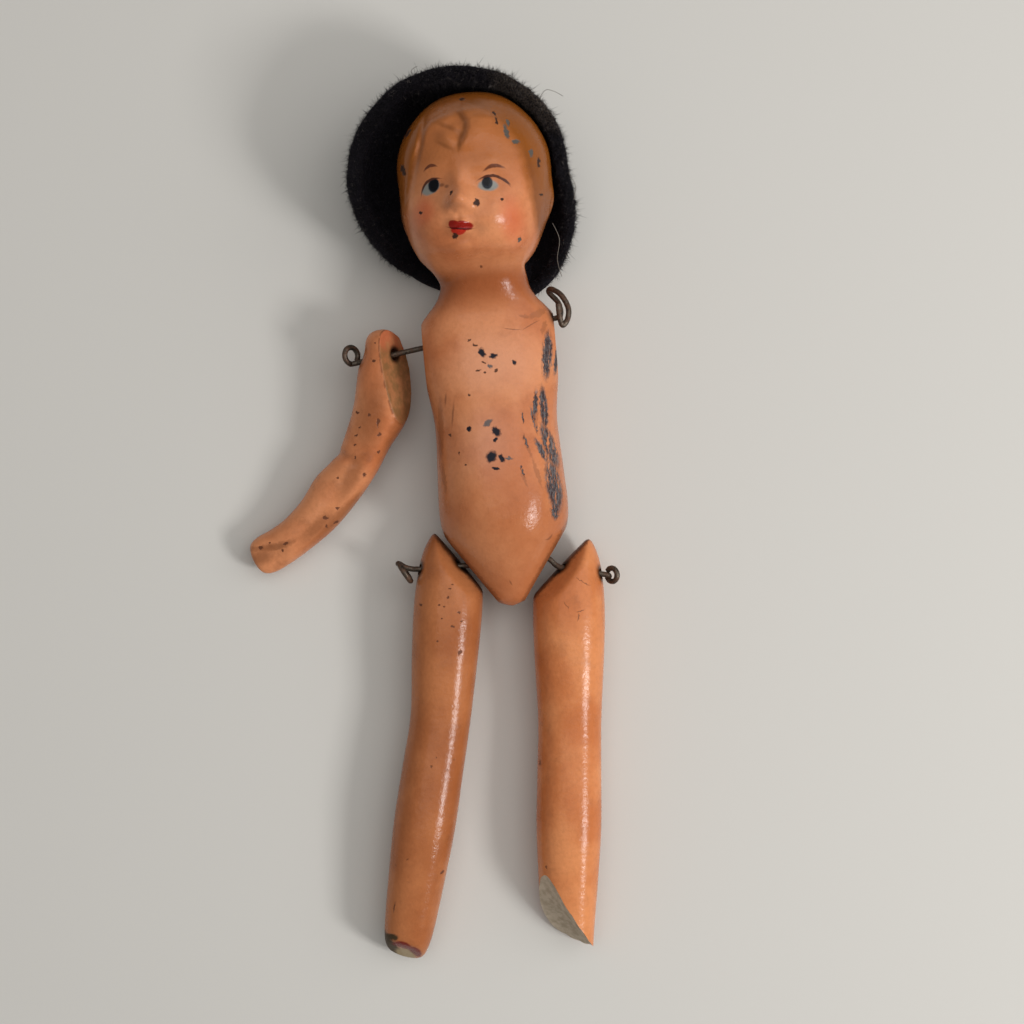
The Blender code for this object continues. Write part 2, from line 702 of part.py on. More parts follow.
def eye(centre, radius, first_axis, second_axis, start, end, steps):
    """Points round a bent eye from one angle to another, in degrees."""
    points = []
    for i in range(steps + 1):
        angle = math.radians(start + (end - start) * i / steps)
        points.append(centre + (first_axis * math.cos(angle) + second_axis * math.sin(angle)) * radius)
    return points


def build_shoulder_wire(kit):
    """The shoulder wire: an eye outside the arm, a straight run, and a crushed eye at the lost arm."""
    pivot = arm_pivot()
    exit_point = shoulder_wire_at(pivot.x - ARM_EYE_REACH + ARM_EYE_RADIUS)
    centre = shoulder_wire_at(pivot.x - ARM_EYE_REACH) + Vector((0, ARM_EYE_RADIUS, 0))
    slant = Vector((0.72, 0, -0.69))
    route = eye(centre, ARM_EYE_RADIUS, slant, Vector((0, 1, 0)), -395, -90, 11)
    route.append(exit_point)
    route.append(shoulder_wire_at(-SHOULDER_SEAT_X))
    route.append(shoulder_wire_at(0))
    left = shoulder_wire_at(SHOULDER_SEAT_X)
    route.append(left)
    crushed = (
        (0.75, 0.10, 0.05),
        (1.00, 0.95, -0.70),
        (0.75, 2.15, -1.30),
        (-0.20, 3.45, -1.60),
        (0.05, 3.75, -0.55),
        (1.15, 2.85, 0.35),
        (1.90, 1.20, 0.70),
        (1.75, -0.20, 0.90),
        (1.05, -1.00, 1.00),
        (0.75, 0.00, 1.45),
        (0.70, 1.60, 1.55),
    )
    unit = WIRE_RADIUS / 0.35
    route += [left + Vector(offset) * unit for offset in crushed]
    points = smooth_path(route, WIRE_POINTS_PER_SPAN)
    return wire_object("shoulder_wire", points, kit.parts, kit.doll, kit.wire, left)


def build_hip_wire(kit):
    """The hip wire: straight through the right leg and the torso, kinked down into the left leg."""
    unit = WIRE_RADIUS / 0.35
    right_out = leg_mouth(-1).x - RIGHT_LEG_OFFSET - 0.88 * THIGH_HALF_WIDTH - LEG_EYE_STANDOFF
    right_centre = Vector((right_out - 1.25 * unit, HIP_WIRE_Y - 0.2 * unit, HIP_WIRE_Z))
    down_and_in = Vector((0.48, -0.877, 0))
    up = Vector((0, 0, 1))
    route = eye(right_centre, RIGHT_LEG_EYE_RADIUS, down_and_in, up, -130, 180, 11)
    route.append(Vector((right_out, HIP_WIRE_Y + 0.1 * unit, HIP_WIRE_Z - 0.1 * unit)))
    route.append(Vector((leg_mouth(-1).x, HIP_WIRE_Y, HIP_WIRE_Z)))
    route.append(Vector((0, HIP_WIRE_Y, HIP_WIRE_Z)))
    seat = hip_seat_x(HIP_WIRE_Y)
    route.append(Vector((seat - 1.8 * unit, HIP_WIRE_Y, HIP_WIRE_Z)))
    route.append(Vector((seat - 0.1 * unit, HIP_WIRE_Y, HIP_WIRE_Z)))
    mouth = leg_mouth(1)
    outward = leg_wire_direction(1)
    route.append(mouth - outward * (0.35 * unit) + Vector((0, 0.25 * unit, 0)))
    route.append(mouth + outward * unit)
    left_out = mouth + outward * (LEFT_LEG_OFFSET + 0.92 * THIGH_HALF_WIDTH + LEG_EYE_STANDOFF)
    route.append(left_out)
    slant = Vector((0.72, 0, 0.69))
    left_centre = left_out + outward * (0.75 * unit) + Vector((0, 0.1 * unit, 0.1 * unit))
    route += eye(left_centre, LEFT_LEG_EYE_RADIUS, slant, Vector((0, 1, 0)), 205, 500, 9)
    points = smooth_path(route, WIRE_POINTS_PER_SPAN)
    return wire_object("hip_wire", points, kit.parts, kit.doll, kit.wire, leg_mouth(-1))


# Felt hat. Tables run round the hat in twelve even steps from the viewer's right.

HAT_OUTLINE_EXTRA = (-0.35, -0.1, -0.25, -0.45, -0.4, -0.35, -0.3, -0.85, -1.4, -0.6, 2.2, 1.7)
HAT_RIM_SHARE = (0.86, 0.94, 0.99, 1.0, 0.97, 0.91, 0.85, 0.58, 0.17, 0.045, 0.13, 0.52)


def round_the_hat(table, turn):
    """A table's smooth value at a share of the way round the hat."""
    count = len(table)
    closed = [table[-1], *table, table[0], table[1]]
    return float(curve_through([[v] for v in closed], 1 + (turn % 1.0) * count)[0])


def build_hat(kit):
    """The felt hat: a deep bowl pressed flat under the head, low behind the neck."""
    radius = HEAD_HALF_WIDTH + HAT_EASE + HAT_WALL
    centre = Vector((-(HAT_EASE - HAT_LEFT_GAP), HEAD_LEVEL_Y + HAT_LEVEL_ABOVE_HEAD, 0))
    bm = bmesh.new()
    loops = []
    for i in range(HAT_PROFILE_STEPS + 1):
        climb = 0.5 * math.pi * i / HAT_PROFILE_STEPS
        loop = []
        for k in range(HAT_SEGMENTS):
            turn = k / HAT_SEGMENTS
            across, up = rounded(climb, 2.25)
            reach = radius + round_the_hat(HAT_OUTLINE_EXTRA, turn) * MM
            rim = HAT_RIM_HEIGHT * round_the_hat(HAT_RIM_SHARE, turn)
            r = HAT_BASE_RADIUS + (reach - HAT_BASE_RADIUS) * up
            direction = Vector((math.cos(2 * math.pi * turn), math.sin(2 * math.pi * turn), 0))
            loop.append(bm.verts.new(centre + direction * r + Vector((0, 0, rim * (1 - across)))))
        loops.append(loop)
    bm.faces.new(list(reversed(loops[0])))
    for lower, upper in zip(loops, loops[1:]):
        for i in range(HAT_SEGMENTS):
            j = (i + 1) % HAT_SEGMENTS
            bm.faces.new((lower[i], lower[j], upper[j], upper[i]))
    mesh = bpy.data.meshes.new("felt_hat")
    bm.to_mesh(mesh)
    bm.free()
    mesh.shade_smooth()
    piece = new_piece("felt_hat", mesh, kit.parts, kit.doll, kit.felt, centre)
    wall = piece.modifiers.new("felt_wall", "SOLIDIFY")
    wall.thickness = HAT_WALL
    wall.offset = -1.0
    wall.use_even_offset = True
    return piece


class Kit:
    """The collections, the parent empty and the materials that every piece uses."""

    def __init__(self):
        self.parts = new_collection("bisque_doll")
        self.cutters = new_collection("cutters")
        self.doll = bpy.data.objects.new("doll", None)
        self.doll.location = (MIDLINE_X, SHOULDER_LINE_Y, 0)
        self.parts.objects.link(self.doll)
        self.bisque = new_material("bisque")
        self.wire = new_material("wire")
        self.felt = new_material("felt")


def main():
    """Builds every piece of the doll."""
    clear_scene()
    kit = Kit()
    build_head_torso(kit)
    build_right_arm(kit)
    build_leg(kit, "right_leg", -1)
    build_leg(kit, "left_leg", 1)
    build_shoulder_wire(kit)
    build_hip_wire(kit)
    build_hat(kit)


main()
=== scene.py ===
"""Looks of a small wire-strung bisque doll that lies on its back in a felt hat.

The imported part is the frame. Lengths here are millimetres in the doll's own frame: x runs from its
midline to the viewer's right, y from its shoulder line to its crown, and z up from the floor.
"""

import logging
import math
from dataclasses import dataclass
from enum import Enum

import bmesh
import bpy
import numpy as np
from mathutils import Matrix, Vector, noise
from mathutils.bvhtree import BVHTree


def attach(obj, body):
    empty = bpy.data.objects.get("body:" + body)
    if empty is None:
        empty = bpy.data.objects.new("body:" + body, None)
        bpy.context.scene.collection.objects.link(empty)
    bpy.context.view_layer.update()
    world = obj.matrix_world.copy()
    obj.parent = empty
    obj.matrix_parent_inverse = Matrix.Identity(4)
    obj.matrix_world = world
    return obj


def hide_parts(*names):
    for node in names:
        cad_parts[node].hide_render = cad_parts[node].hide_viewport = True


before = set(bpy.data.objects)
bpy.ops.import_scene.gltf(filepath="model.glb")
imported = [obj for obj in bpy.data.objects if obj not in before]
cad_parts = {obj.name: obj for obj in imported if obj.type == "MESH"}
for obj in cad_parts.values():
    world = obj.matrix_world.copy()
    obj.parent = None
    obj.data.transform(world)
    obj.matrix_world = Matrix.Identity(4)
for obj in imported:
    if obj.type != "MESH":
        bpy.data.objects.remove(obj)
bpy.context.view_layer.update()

LOG = logging.getLogger("bisque_doll")
MM = 0.001
DOLL_PLACE = np.array((9.46, 23.75, 0.0))
WIRE_RADIUS = 0.35
BORE_RADIUS = 0.70
BORE_SIDES = 40
CUT_WELD = 1e-7
BREAK_GRID = 110
BREAK_SPAN = 26.0
BREAK_DEPTH = 20.0
LIMB_STEPS = 3000
LIMB_SQUARENESS = 2.15
LIMB_THINNEST = 0.02
SEED = 20
POLE_MARGIN = 1e-6
FULL_TURN = 2 * math.pi

Colour = tuple[float, float, float, float]
Piece = bpy.types.Object
Material = bpy.types.Material
Array = np.ndarray


def srgb(red: int, green: int, blue: int) -> Colour:
    """A display colour, 0 to 255, as the linear colour that a shader takes."""
    shares = [c / 255.0 for c in (red, green, blue)]
    linear = [s / 12.92 if s <= 0.04045 else ((s + 0.055) / 1.055) ** 2.4 for s in shares]
    return (linear[0], linear[1], linear[2], 1.0)


def ease(value: Array, low: float, high: float) -> Array:
    """A smooth rise from 0 at low to 1 at high."""
    t = np.clip((value - low) / (high - low), 0.0, 1.0)
    return t * t * (3.0 - 2.0 * t)


def bell(distance: Array) -> Array:
    """A smooth hump of unit height."""
    return np.exp(-0.5 * distance * distance)


def smooth_rows(rows: list, positions: Array) -> Array:
    """Rows at fractional indexes on the smooth curve through the listed rows.

    Args:
        rows: Rows of numbers that the curve passes through.
        positions: Fractional indexes into the rows.

    Returns:
        One row for each position.
    """
    table = np.asarray(rows, float)
    positions = np.asarray(positions, float)
    first = np.clip(np.floor(positions).astype(int), 0, len(table) - 2)
    t = (positions - first)[:, None]
    before = table[np.maximum(first - 1, 0)]
    start = table[first]
    end = table[first + 1]
    after = table[np.minimum(first + 2, len(table) - 1)]
    t2 = t * t
    t3 = t2 * t
    return (
        (2 * t3 - 3 * t2 + 1) * start
        + (t3 - 2 * t2 + t) * (end - before) / 2
        + (3 * t2 - 2 * t3) * end
        + (t3 - t2) * (after - start) / 2
    )


def rounded(angle: Array, squareness: Array) -> tuple[Array, Array]:
    """Cosine and sine of an angle on a superellipse; a squareness of 2 gives a circle."""
    c = np.cos(angle)
    s = np.sin(angle)
    power = 2.0 / np.asarray(squareness, float)
    return np.copysign(np.abs(c) ** power, c), np.copysign(np.abs(s) ** power, s)


def unit(rows: Array) -> Array:
    """A vector, or each row of a table, scaled to a length of one."""
    return rows / np.linalg.norm(rows, axis=-1, keepdims=True)


def at_pole(down: Array) -> Array:
    """Which vertices of a ball are its top and its bottom."""
    return (down < POLE_MARGIN) | (down > 1 - POLE_MARGIN)


def in_part(points: Array) -> Array:
    """Points of the doll's frame, in millimetres, as points of the part's frame in metres."""
    return (np.asarray(points, float) + DOLL_PLACE) * MM


def lumps(points: Array, size: float, shift: float) -> Array:
    """Smooth noise from about -1 to 1 at each point, with lumps of a size in millimetres."""
    offset = Vector((shift, 2.7 * shift, -1.3 * shift))
    return np.array([noise.noise(Vector(p) / size + offset) for p in points])


class Bench:
    """The modelling bench: Blender's operators, one piece at a time."""

    @staticmethod
    def clear() -> None:
        """Leaves nothing selected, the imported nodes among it."""
        bpy.ops.object.select_all(action="DESELECT")

    @staticmethod
    def pick(piece: Piece) -> None:
        """Makes one piece the only selected and active one."""
        Bench.clear()
        piece.select_set(True)
        bpy.context.view_layer.objects.active = piece

    @staticmethod
    def ball(name: str, segments: int, rings: int) -> Piece:
        """A fresh unit ball, the blank that a casting is moulded from."""
        Bench.clear()
        bpy.ops.mesh.primitive_uv_sphere_add(segments=segments, ring_count=rings, radius=1.0)
        piece = bpy.context.object
        piece.name = name
        piece.data.name = name
        Bench.put_in_order(piece)
        return piece

    @staticmethod
    def put_in_order(piece: Piece) -> None:
        """Sorts a ball's edges and faces by their points, since their order differs at each run."""
        mesh = bmesh.new()
        mesh.from_mesh(piece.data)
        for elements in (mesh.edges, mesh.faces):
            ranked = sorted(elements, key=lambda element: sorted(v.index for v in element.verts))
            rank = {element.index: i for i, element in enumerate(ranked)}
            elements.sort(key=lambda element: rank[element.index])
        mesh.to_mesh(piece.data)
        mesh.free()

    @staticmethod
    def points(piece: Piece) -> Array:
        """The piece's vertices, one row each."""
        flat = np.empty(len(piece.data.vertices) * 3)
        piece.data.vertices.foreach_get("co", flat)
        return flat.reshape(-1, 3)

    @staticmethod
    def directions(piece: Piece) -> tuple[Array, Array]:
        """Where each vertex of a ball lies on it.

        Args:
            piece: A unit ball.

        Returns:
            The angle round the ball, and the share of the way down from its top.
        """
        points = Bench.points(piece)
        angle = np.arctan2(points[:, 1], points[:, 0])
        return angle, np.arccos(np.clip(points[:, 2], -1.0, 1.0)) / math.pi

    @staticmethod
    def mould(piece: Piece, points: Array) -> None:
        """Moves a piece's vertices to points of the doll's frame."""
        piece.data.vertices.foreach_set("co", in_part(points).astype(np.float32).ravel())
        piece.data.update()

    @staticmethod
    def finish_with(piece: Piece, kind: str, **settings: object) -> None:
        """Adds a modifier with its settings and applies it."""
        Bench.pick(piece)
        modifier = piece.modifiers.new(kind.lower(), kind)
        for name, value in settings.items():
            setattr(modifier, name, value)
        bpy.ops.object.modifier_apply(modifier=modifier.name)

    @staticmethod
    def carve(piece: Piece, cutter: Piece) -> None:
        """Takes a cutter out of a piece, with the cutter's finish on the cut."""
        mode = "TRANSFER" if cutter.data.materials else "INDEX"
        settings = {"operation": "DIFFERENCE", "solver": "EXACT", "object": cutter}
        Bench.finish_with(piece, "BOOLEAN", material_mode=mode, **settings)
        bpy.data.objects.remove(cutter)
        Bench.clean_rim(piece)

    @staticmethod
    def clean_rim(piece: Piece) -> None:
        """Dissolves the points of a cut's rim at which only two edges meet."""
        ends = np.empty(2 * len(piece.data.edges), np.int32)
        piece.data.edges.foreach_get("vertices", ends)
        spare = np.bincount(ends, minlength=len(piece.data.vertices)) == 2
        Bench.pick(piece)
        bpy.ops.object.mode_set(mode="EDIT")
        bpy.ops.mesh.select_mode(type="VERT")
        bpy.ops.mesh.select_all(action="DESELECT")
        bpy.ops.object.mode_set(mode="OBJECT")
        piece.data.vertices.foreach_set("select", spare)
        bpy.ops.object.mode_set(mode="EDIT")
        bpy.ops.mesh.dissolve_verts()
        bpy.ops.object.mode_set(mode="OBJECT")

    @staticmethod
    def drill(piece: Piece, start: Array, end: Array, radius: float) -> None:
        """Drills a round hole through a piece from one point to another."""
        first = Vector(in_part(start))
        last = Vector(in_part(end))
        Bench.clear()
        bpy.ops.mesh.primitive_cylinder_add(
            vertices=BORE_SIDES,
            radius=radius * MM,
            depth=(last - first).length,
            location=(first + last) / 2,
            rotation=(last - first).to_track_quat("Z", "Y").to_euler(),
        )
        Bench.carve(piece, bpy.context.object)

    @staticmethod
    def slice_flat(piece: Piece, point: Array, normal: Vector) -> None:
        """Cuts a piece along a plane, drops what lies beyond it and closes the cut."""
        Bench.pick(piece)
        bpy.ops.object.mode_set(mode="EDIT")
        bpy.ops.mesh.select_all(action="SELECT")
        bpy.ops.mesh.bisect(
            plane_co=in_part(point),
            plane_no=normal,
            use_fill=True,
            clear_outer=True,
            threshold=CUT_WELD,
        )
        bpy.ops.object.mode_set(mode="OBJECT")

    @staticmethod
    def break_off(
        piece: Piece,
        point: Array,
        normal: Vector,
        roughness: float,
        hollow: float,
        twist: float,
        finish: Material,
    ) -> None:
        """Breaks a piece off along a rough, bent face.

        Args:
            piece: The piece that is broken.
            point: A point on the break.
            normal: The way that the break faces.
            roughness: Height of the break's lumps, in millimetres.
            hollow: How far the middle of the break sinks in.
            twist: How much the break winds, per square millimetre of x times z.
            finish: The material of the broken face.
        """
        turn = normal.to_track_quat("Z", "Y")
        Bench.clear()
        grid = {"x_subdivisions": BREAK_GRID, "y_subdivisions": BREAK_GRID}
        bpy.ops.mesh.primitive_grid_add(size=BREAK_SPAN * MM, **grid)
        cutter = bpy.context.object
        flat = Bench.points(cutter) / MM
        away = np.hypot(flat[:, 0], flat[:, 1])
        flat[:, 2] = roughness * lumps(flat, 2.2, 3.1) + 0.45 * roughness * lumps(flat, 0.7, 8.3)
        flat[:, 2] += 0.2 * roughness * lumps(flat, 0.28, 5.9) - hollow * bell(away / 2.0)
        lying = np.clip(flat @ np.array(turn.to_matrix()).T, -5.0, 5.0)
        flat[:, 2] += twist * lying[:, 0] * lying[:, 2]
        cutter.data.vertices.foreach_set("co", (flat * MM).astype(np.float32).ravel())
        cutter.data.materials.append(finish)
        cutter.matrix_world = Matrix.LocRotScale(Vector(in_part(point)), turn, None)
        Bench.finish_with(cutter, "SOLIDIFY", thickness=BREAK_DEPTH * MM, offset=1.0)
        Bench.carve(piece, cutter)

    @staticmethod
    def even_out(piece: Piece, voxel: float, rounds: int) -> None:
        """Re-meshes a carved piece evenly and wears its edges round.

        Args:
            piece: The carved piece.
            voxel: Size of the new mesh, in millimetres.
            rounds: Rounds of smoothing.
        """
        Bench.finish_with(piece, "REMESH", mode="VOXEL", voxel_size=voxel * MM)
        Bench.finish_with(piece, "SMOOTH", factor=0.5, iterations=rounds)

    @staticmethod
    def tubes(name: str, lines: list, radius: float, resolution: int) -> Piece:
        """Closed round tubes along lines of points.

        Args:
            name: The piece's name.
            lines: A table of points of the doll's frame for each tube.
            radius: The tubes' radius, in millimetres.
            resolution: How finely they are rounded.

        Returns:
            The tubes as one piece.
        """
        Bench.clear()
        bpy.ops.curve.primitive_nurbs_path_add(location=(0, 0, 0))
        piece = bpy.context.object
        piece.name = name
        curve = piece.data
        curve.splines.clear()
        for line in lines:
            spline = curve.splines.new("POLY")
            spline.points.add(len(line) - 1)
            for point, co in zip(spline.points, in_part(line)):
                point.co = (*co, 1.0)
        curve.bevel_depth = radius * MM
        curve.bevel_resolution = resolution
        curve.use_fill_caps = True
        bpy.ops.object.convert(target="MESH")
        return bpy.context.object

    @staticmethod
    def smooth_shade(piece: Piece, angle: float) -> None:
        """Shades a piece smooth, apart from edges sharper than an angle in degrees."""
        Bench.pick(piece)
        bpy.ops.object.shade_smooth_by_angle(angle=math.radians(angle))

    @staticmethod
    def deliver(piece: Piece, body: str, slot: str, *nodes: str) -> None:
        """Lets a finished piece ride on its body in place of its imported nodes."""
        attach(piece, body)
        if nodes:
            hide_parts(*nodes)
        triangles = sum(len(p.vertices) - 2 for p in piece.data.polygons)
        LOG.info("%s rides on %s with %d triangles", piece.name, body, triangles)


class Value:
    """One output of a shader node; arithmetic on it adds Math nodes."""

    def __init__(self, graph: "Graph", socket: bpy.types.NodeSocket) -> None:
        self.graph = graph
        self.socket = socket

    def __add__(self, other: "Number") -> "Value":
        """The sum."""
        return self.graph.maths("ADD", self, other)

    def __radd__(self, other: "Number") -> "Value":
        """The sum, with a number first."""
        return self.graph.maths("ADD", other, self)

    def __sub__(self, other: "Number") -> "Value":
        """The difference."""
        return self.graph.maths("SUBTRACT", self, other)

    def __rsub__(self, other: "Number") -> "Value":
        """The difference from a number."""
        return self.graph.maths("SUBTRACT", other, self)

    def __mul__(self, other: "Number") -> "Value":
        """The product."""
        return self.graph.maths("MULTIPLY", self, other)

    def __or__(self, other: "Number") -> "Value":
        """The larger of two masks."""
        return self.graph.maths("MAXIMUM", self, other)


Number = float | Value


@dataclass(frozen=True)
class Mark:
    """An oval touch of paint or a chip, seen from above the doll.

    Attributes:
        x: Place across the doll.
        y: Place along the doll.
        long: Half its length.
        wide: Half its width.
        turn: Degrees from the viewer's right to its length.
        bend: How many half widths its ends curl to its left.
        soft: Share of its size over which it fades.
    """

    x: float
    y: float
    long: float
    wide: float
    turn: float = 0.0
    bend: float = 0.0
    soft: float = 0.3


class Graph:
    """The node tree of one material."""

    def __init__(self, name: str) -> None:
        self.material = bpy.data.materials.new(name)
        self.material.use_nodes = True
        self.tree = self.material.node_tree
        self.shader = self.tree.nodes["Principled BSDF"]

    def node(self, kind: str, settings: dict, sockets: dict, output: int | str = 0) -> Value:
        """Adds a node.

        Args:
            kind: The node's type.
            settings: Its own settings, which are set first.
            sockets: Values or links of its inputs, by name or index.
            output: Name or index of the output that is wanted.

        Returns:
            That output.
        """
        made = self.tree.nodes.new(kind)
        for name, value in settings.items():
            setattr(made, name, value)
        for key, value in sockets.items():
            self.feed(made.inputs[key], value)
        return Value(self, made.outputs[output])

    def feed(self, socket: bpy.types.NodeSocket, value: object) -> None:
        """Links a socket to a value, or sets the number or colour on it."""
        if isinstance(value, Value):
            self.tree.links.new(value.socket, socket)
        else:
            socket.default_value = value

    def surface(self, sockets: dict) -> Material:
        """Sets or links the shader's inputs, by name, and gives the material."""
        for name, value in sockets.items():
            self.feed(self.shader.inputs[name], value)
        return self.material

    def maths(self, operation: str, first: Number, second: Number) -> Value:
        """A Math node on two values."""
        return self.node("ShaderNodeMath", {"operation": operation}, {0: first, 1: second})

    def vector(self, operation: str, *inputs: object) -> Value:
        """A Vector Math node, of which a length or a dot product comes out as a number."""
        output = "Value" if operation in ("LENGTH", "DOT_PRODUCT") else "Vector"
        settings = {"operation": operation}
        return self.node("ShaderNodeVectorMath", settings, dict(enumerate(inputs)), output)

    def place(self) -> Value:
        """The point's place in the doll's frame, in millimetres."""
        here = self.node("ShaderNodeTexCoord", {}, {}, "Object")
        return self.vector("MULTIPLY_ADD", here, (1 / MM,) * 3, tuple(-DOLL_PLACE))

    def parts(self, vector: Value) -> tuple[Value, Value, Value]:
        """The three numbers of a vector."""
        made = self.node("ShaderNodeSeparateXYZ", {}, {0: vector}).socket.node
        return tuple(Value(self, socket) for socket in made.outputs)

    def stretched(self, vector: Value, scale: tuple) -> Value:
        """A place scaled along each axis."""
        sockets = {"Vector": vector, "Scale": scale}
        return self.node("ShaderNodeMapping", {"vector_type": "POINT"}, sockets)

    def wobbled(self, vector: Value, per_mm: float, amount: float) -> Value:
        """A place pushed about by noise, which makes drawn edges uneven."""
        sockets = {"Vector": vector, "Scale": per_mm, "Detail": 2.0}
        push = self.node("ShaderNodeTexNoise", {}, sockets, "Color")
        centred = self.vector("SUBTRACT", push, (0.5, 0.5, 0.5))
        return self.vector("MULTIPLY_ADD", centred, (amount,) * 3, vector)

    def noise(self, vector: Value, per_mm: float, detail: float = 3.0) -> Value:
        """Soft noise from 0 to 1."""
        sockets = {"Vector": vector, "Scale": per_mm, "Detail": detail, "Roughness": 0.55}
        return self.node("ShaderNodeTexNoise", {}, sockets)

    def cells(self, vector: Value, per_mm: float) -> Value:
        """Distance to the nearest of scattered points, in cells."""
        sockets = {"Vector": vector, "Scale": per_mm}
        return self.node("ShaderNodeTexVoronoi", {}, sockets, "Distance")

    def rise(self, value: Number, low: float, high: float) -> Value:
        """A smooth step from 0 at low to 1 at high, which may lie below low."""
        settings = {"interpolation_type": "SMOOTHSTEP"}
        return self.node("ShaderNodeMapRange", settings, {0: value, 1: low, 2: high})

    def mix(self, share: Number, first: object, second: object, blend: str = "MIX") -> Value:
        """One colour over another."""
        settings = {"data_type": "RGBA", "blend_type": blend}
        return self.node("ShaderNodeMix", settings, {0: share, 6: first, 7: second}, 2)

    def mark(self, place: Value, mark: Mark) -> Value:
        """The mask of one mark."""
        sockets = {
            "Vector": place,
            "Center": (mark.x, mark.y, 0.0),
            "Angle": math.radians(-mark.turn),
        }
        turned = self.node("ShaderNodeVectorRotate", {"rotation_type": "Z_AXIS"}, sockets)
        scale = (1.0 / mark.long, 1.0 / mark.wide, 0.0)
        shift = (-mark.x / mark.long, -mark.y / mark.wide, 0.0)
        away = self.vector("MULTIPLY_ADD", turned, scale, shift)
        if mark.bend:
            u, v, _ = self.parts(away)
            bent = v + u * u * -mark.bend
            away_squared = u * u + bent * bent
            return self.rise(away_squared, (1 + mark.soft) ** 2, max(1 - mark.soft, 0.0) ** 2)
        return self.rise(self.vector("LENGTH", away), 1 + mark.soft, 1 - mark.soft)

    def marks(self, place: Value, table: tuple[Mark, ...]) -> Value:
        """The mask of any of several marks."""
        whole = self.mark(place, table[0])
        for mark in table[1:]:
            whole = whole | self.mark(place, mark)
        return whole

    def line(self, place: Value, start: Array, toward: Array) -> Value:
        """Distance from a straight line, in millimetres."""
        reach = self.vector("SUBTRACT", place, tuple(start))
        return self.vector("LENGTH", self.vector("CROSS_PRODUCT", reach, tuple(unit(toward))))

    def beyond(self, place: Value, point: Array, normal: Array) -> Value:
        """Signed distance beyond a plane, in millimetres."""
        facing = unit(normal)
        return self.vector("DOT_PRODUCT", place, tuple(facing)) - float(facing @ point)

    def relief(self, height: Value, depth: float) -> None:
        """Lets a height, from 0 to 1, dent the surface by a depth in millimetres."""
        sockets = {"Height": height, "Distance": depth * MM, "Strength": 1.0}
        self.surface({"Normal": self.node("ShaderNodeBump", {}, sockets, "Normal")})


@dataclass(frozen=True)
class FleshPaint:
    """Old salmon flesh paint over fired bisque, glossy where it is whole."""

    light: Colour = srgb(208, 136, 92)
    deep: Colour = srgb(186, 110, 68)
    dirt: Colour = srgb(118, 68, 40)
    pit: Colour = srgb(58, 33, 22)
    roughness: float = 0.24
    specular: float = 0.19
    coat: float = 0.02
    coat_roughness: float = 0.17
    bump: float = 0.055


class Painting:
    """A coat of flesh paint, over which touches, stains and chips are laid in turn."""

    def __init__(self, name: str, paint: FleshPaint, speckles: float, grubby: float) -> None:
        """Lays the ground coat.

        Args:
            name: The material's name.
            paint: The flesh paint.
            speckles: How much of the surface is pitted, from 0 to 1.
            grubby: How dark the grime is, from 0 to 1.
        """
        self.graph = Graph(name)
        self.paint = paint
        graph = self.graph
        self.place = graph.place()
        self.drawn = graph.wobbled(self.place, 1.6, 0.16)
        self.chipped = graph.wobbled(self.place, 2.4, 0.55)
        patches = graph.rise(graph.noise(self.place, 0.11, 4.0), 0.36, 0.66)
        self.colour = graph.mix(patches, paint.light, paint.deep)
        grime = graph.rise(graph.noise(self.place, 0.45, 6.0), 0.52, 0.78)
        self.colour = graph.mix(grime * grubby, self.colour, paint.dirt)
        mottle = graph.rise(graph.noise(self.place, 1.9, 4.0), 0.42, 0.70)
        self.colour = graph.mix(mottle * 0.10, self.colour, paint.dirt)
        dots = graph.rise(graph.cells(self.chipped, 0.85), 0.17, 0.09)
        where = graph.rise(graph.noise(self.place, 0.16, 2.0), 0.72 - 0.3 * speckles, 0.80)
        pits = dots * where * min(1.0, 0.35 + speckles)
        self.colour = graph.mix(pits, self.colour, paint.pit)
        peel = graph.noise(self.place, 2.6, 3.0)
        waves = graph.noise(self.place, 0.9, 2.0) * 1.1 + graph.noise(self.place, 5.5, 2.0) * 0.10
        self.height = peel * 0.45 + waves - pits * 0.8
        self.roughness = peel * 0.12 + grime * 0.12 + (paint.roughness - 0.08)
        self.gloss = 1.0 - pits

    def touch(self, mask: Value, colour: Colour, share: float = 1.0) -> None:
        """Lays a touch of paint over the coat."""
        self.colour = self.graph.mix(mask * share, self.colour, colour)

    def shade(self, mask: Value, colour: Colour, share: float = 1.0) -> None:
        """Darkens the coat by a colour, as dirt or a glaze does; here also painted shade in wire
        holes.
        """
        self.colour = self.graph.mix(mask * share, self.colour, colour, "MULTIPLY")

    def dull(self, mask: Value, share: float) -> None:
        """Takes the gloss off a place."""
        self.roughness = self.roughness + mask * share
        self.gloss = self.gloss * (1.0 - mask)

    def chip(self, mask: Value, colour: Colour, depth: float = 1.0) -> None:
        """Knocks the coat off a place, down to a dull colour below it."""
        self.touch(mask, colour)
        self.dull(mask, 0.3)
        self.height = self.height - mask * depth

    def knock(self, table: tuple, where: Value, colour: Colour, depth: float = 1.0) -> None:
        """Chips the coat at each mark of a table, as far as a mask lets it."""
        self.chip(self.graph.marks(self.chipped, table) * where, colour, depth)

    def finish(self) -> Material:
        """Joins the layers to the shader.

        Returns:
            The finished material.
        """
        self.graph.relief(self.height, self.paint.bump)
        return self.graph.surface({
            "Base Color": self.colour,
            "Roughness": self.roughness,
            "Coat Weight": self.gloss * self.paint.coat,
            "Coat Roughness": self.paint.coat_roughness,
            "Specular IOR Level": self.paint.specular,
        })


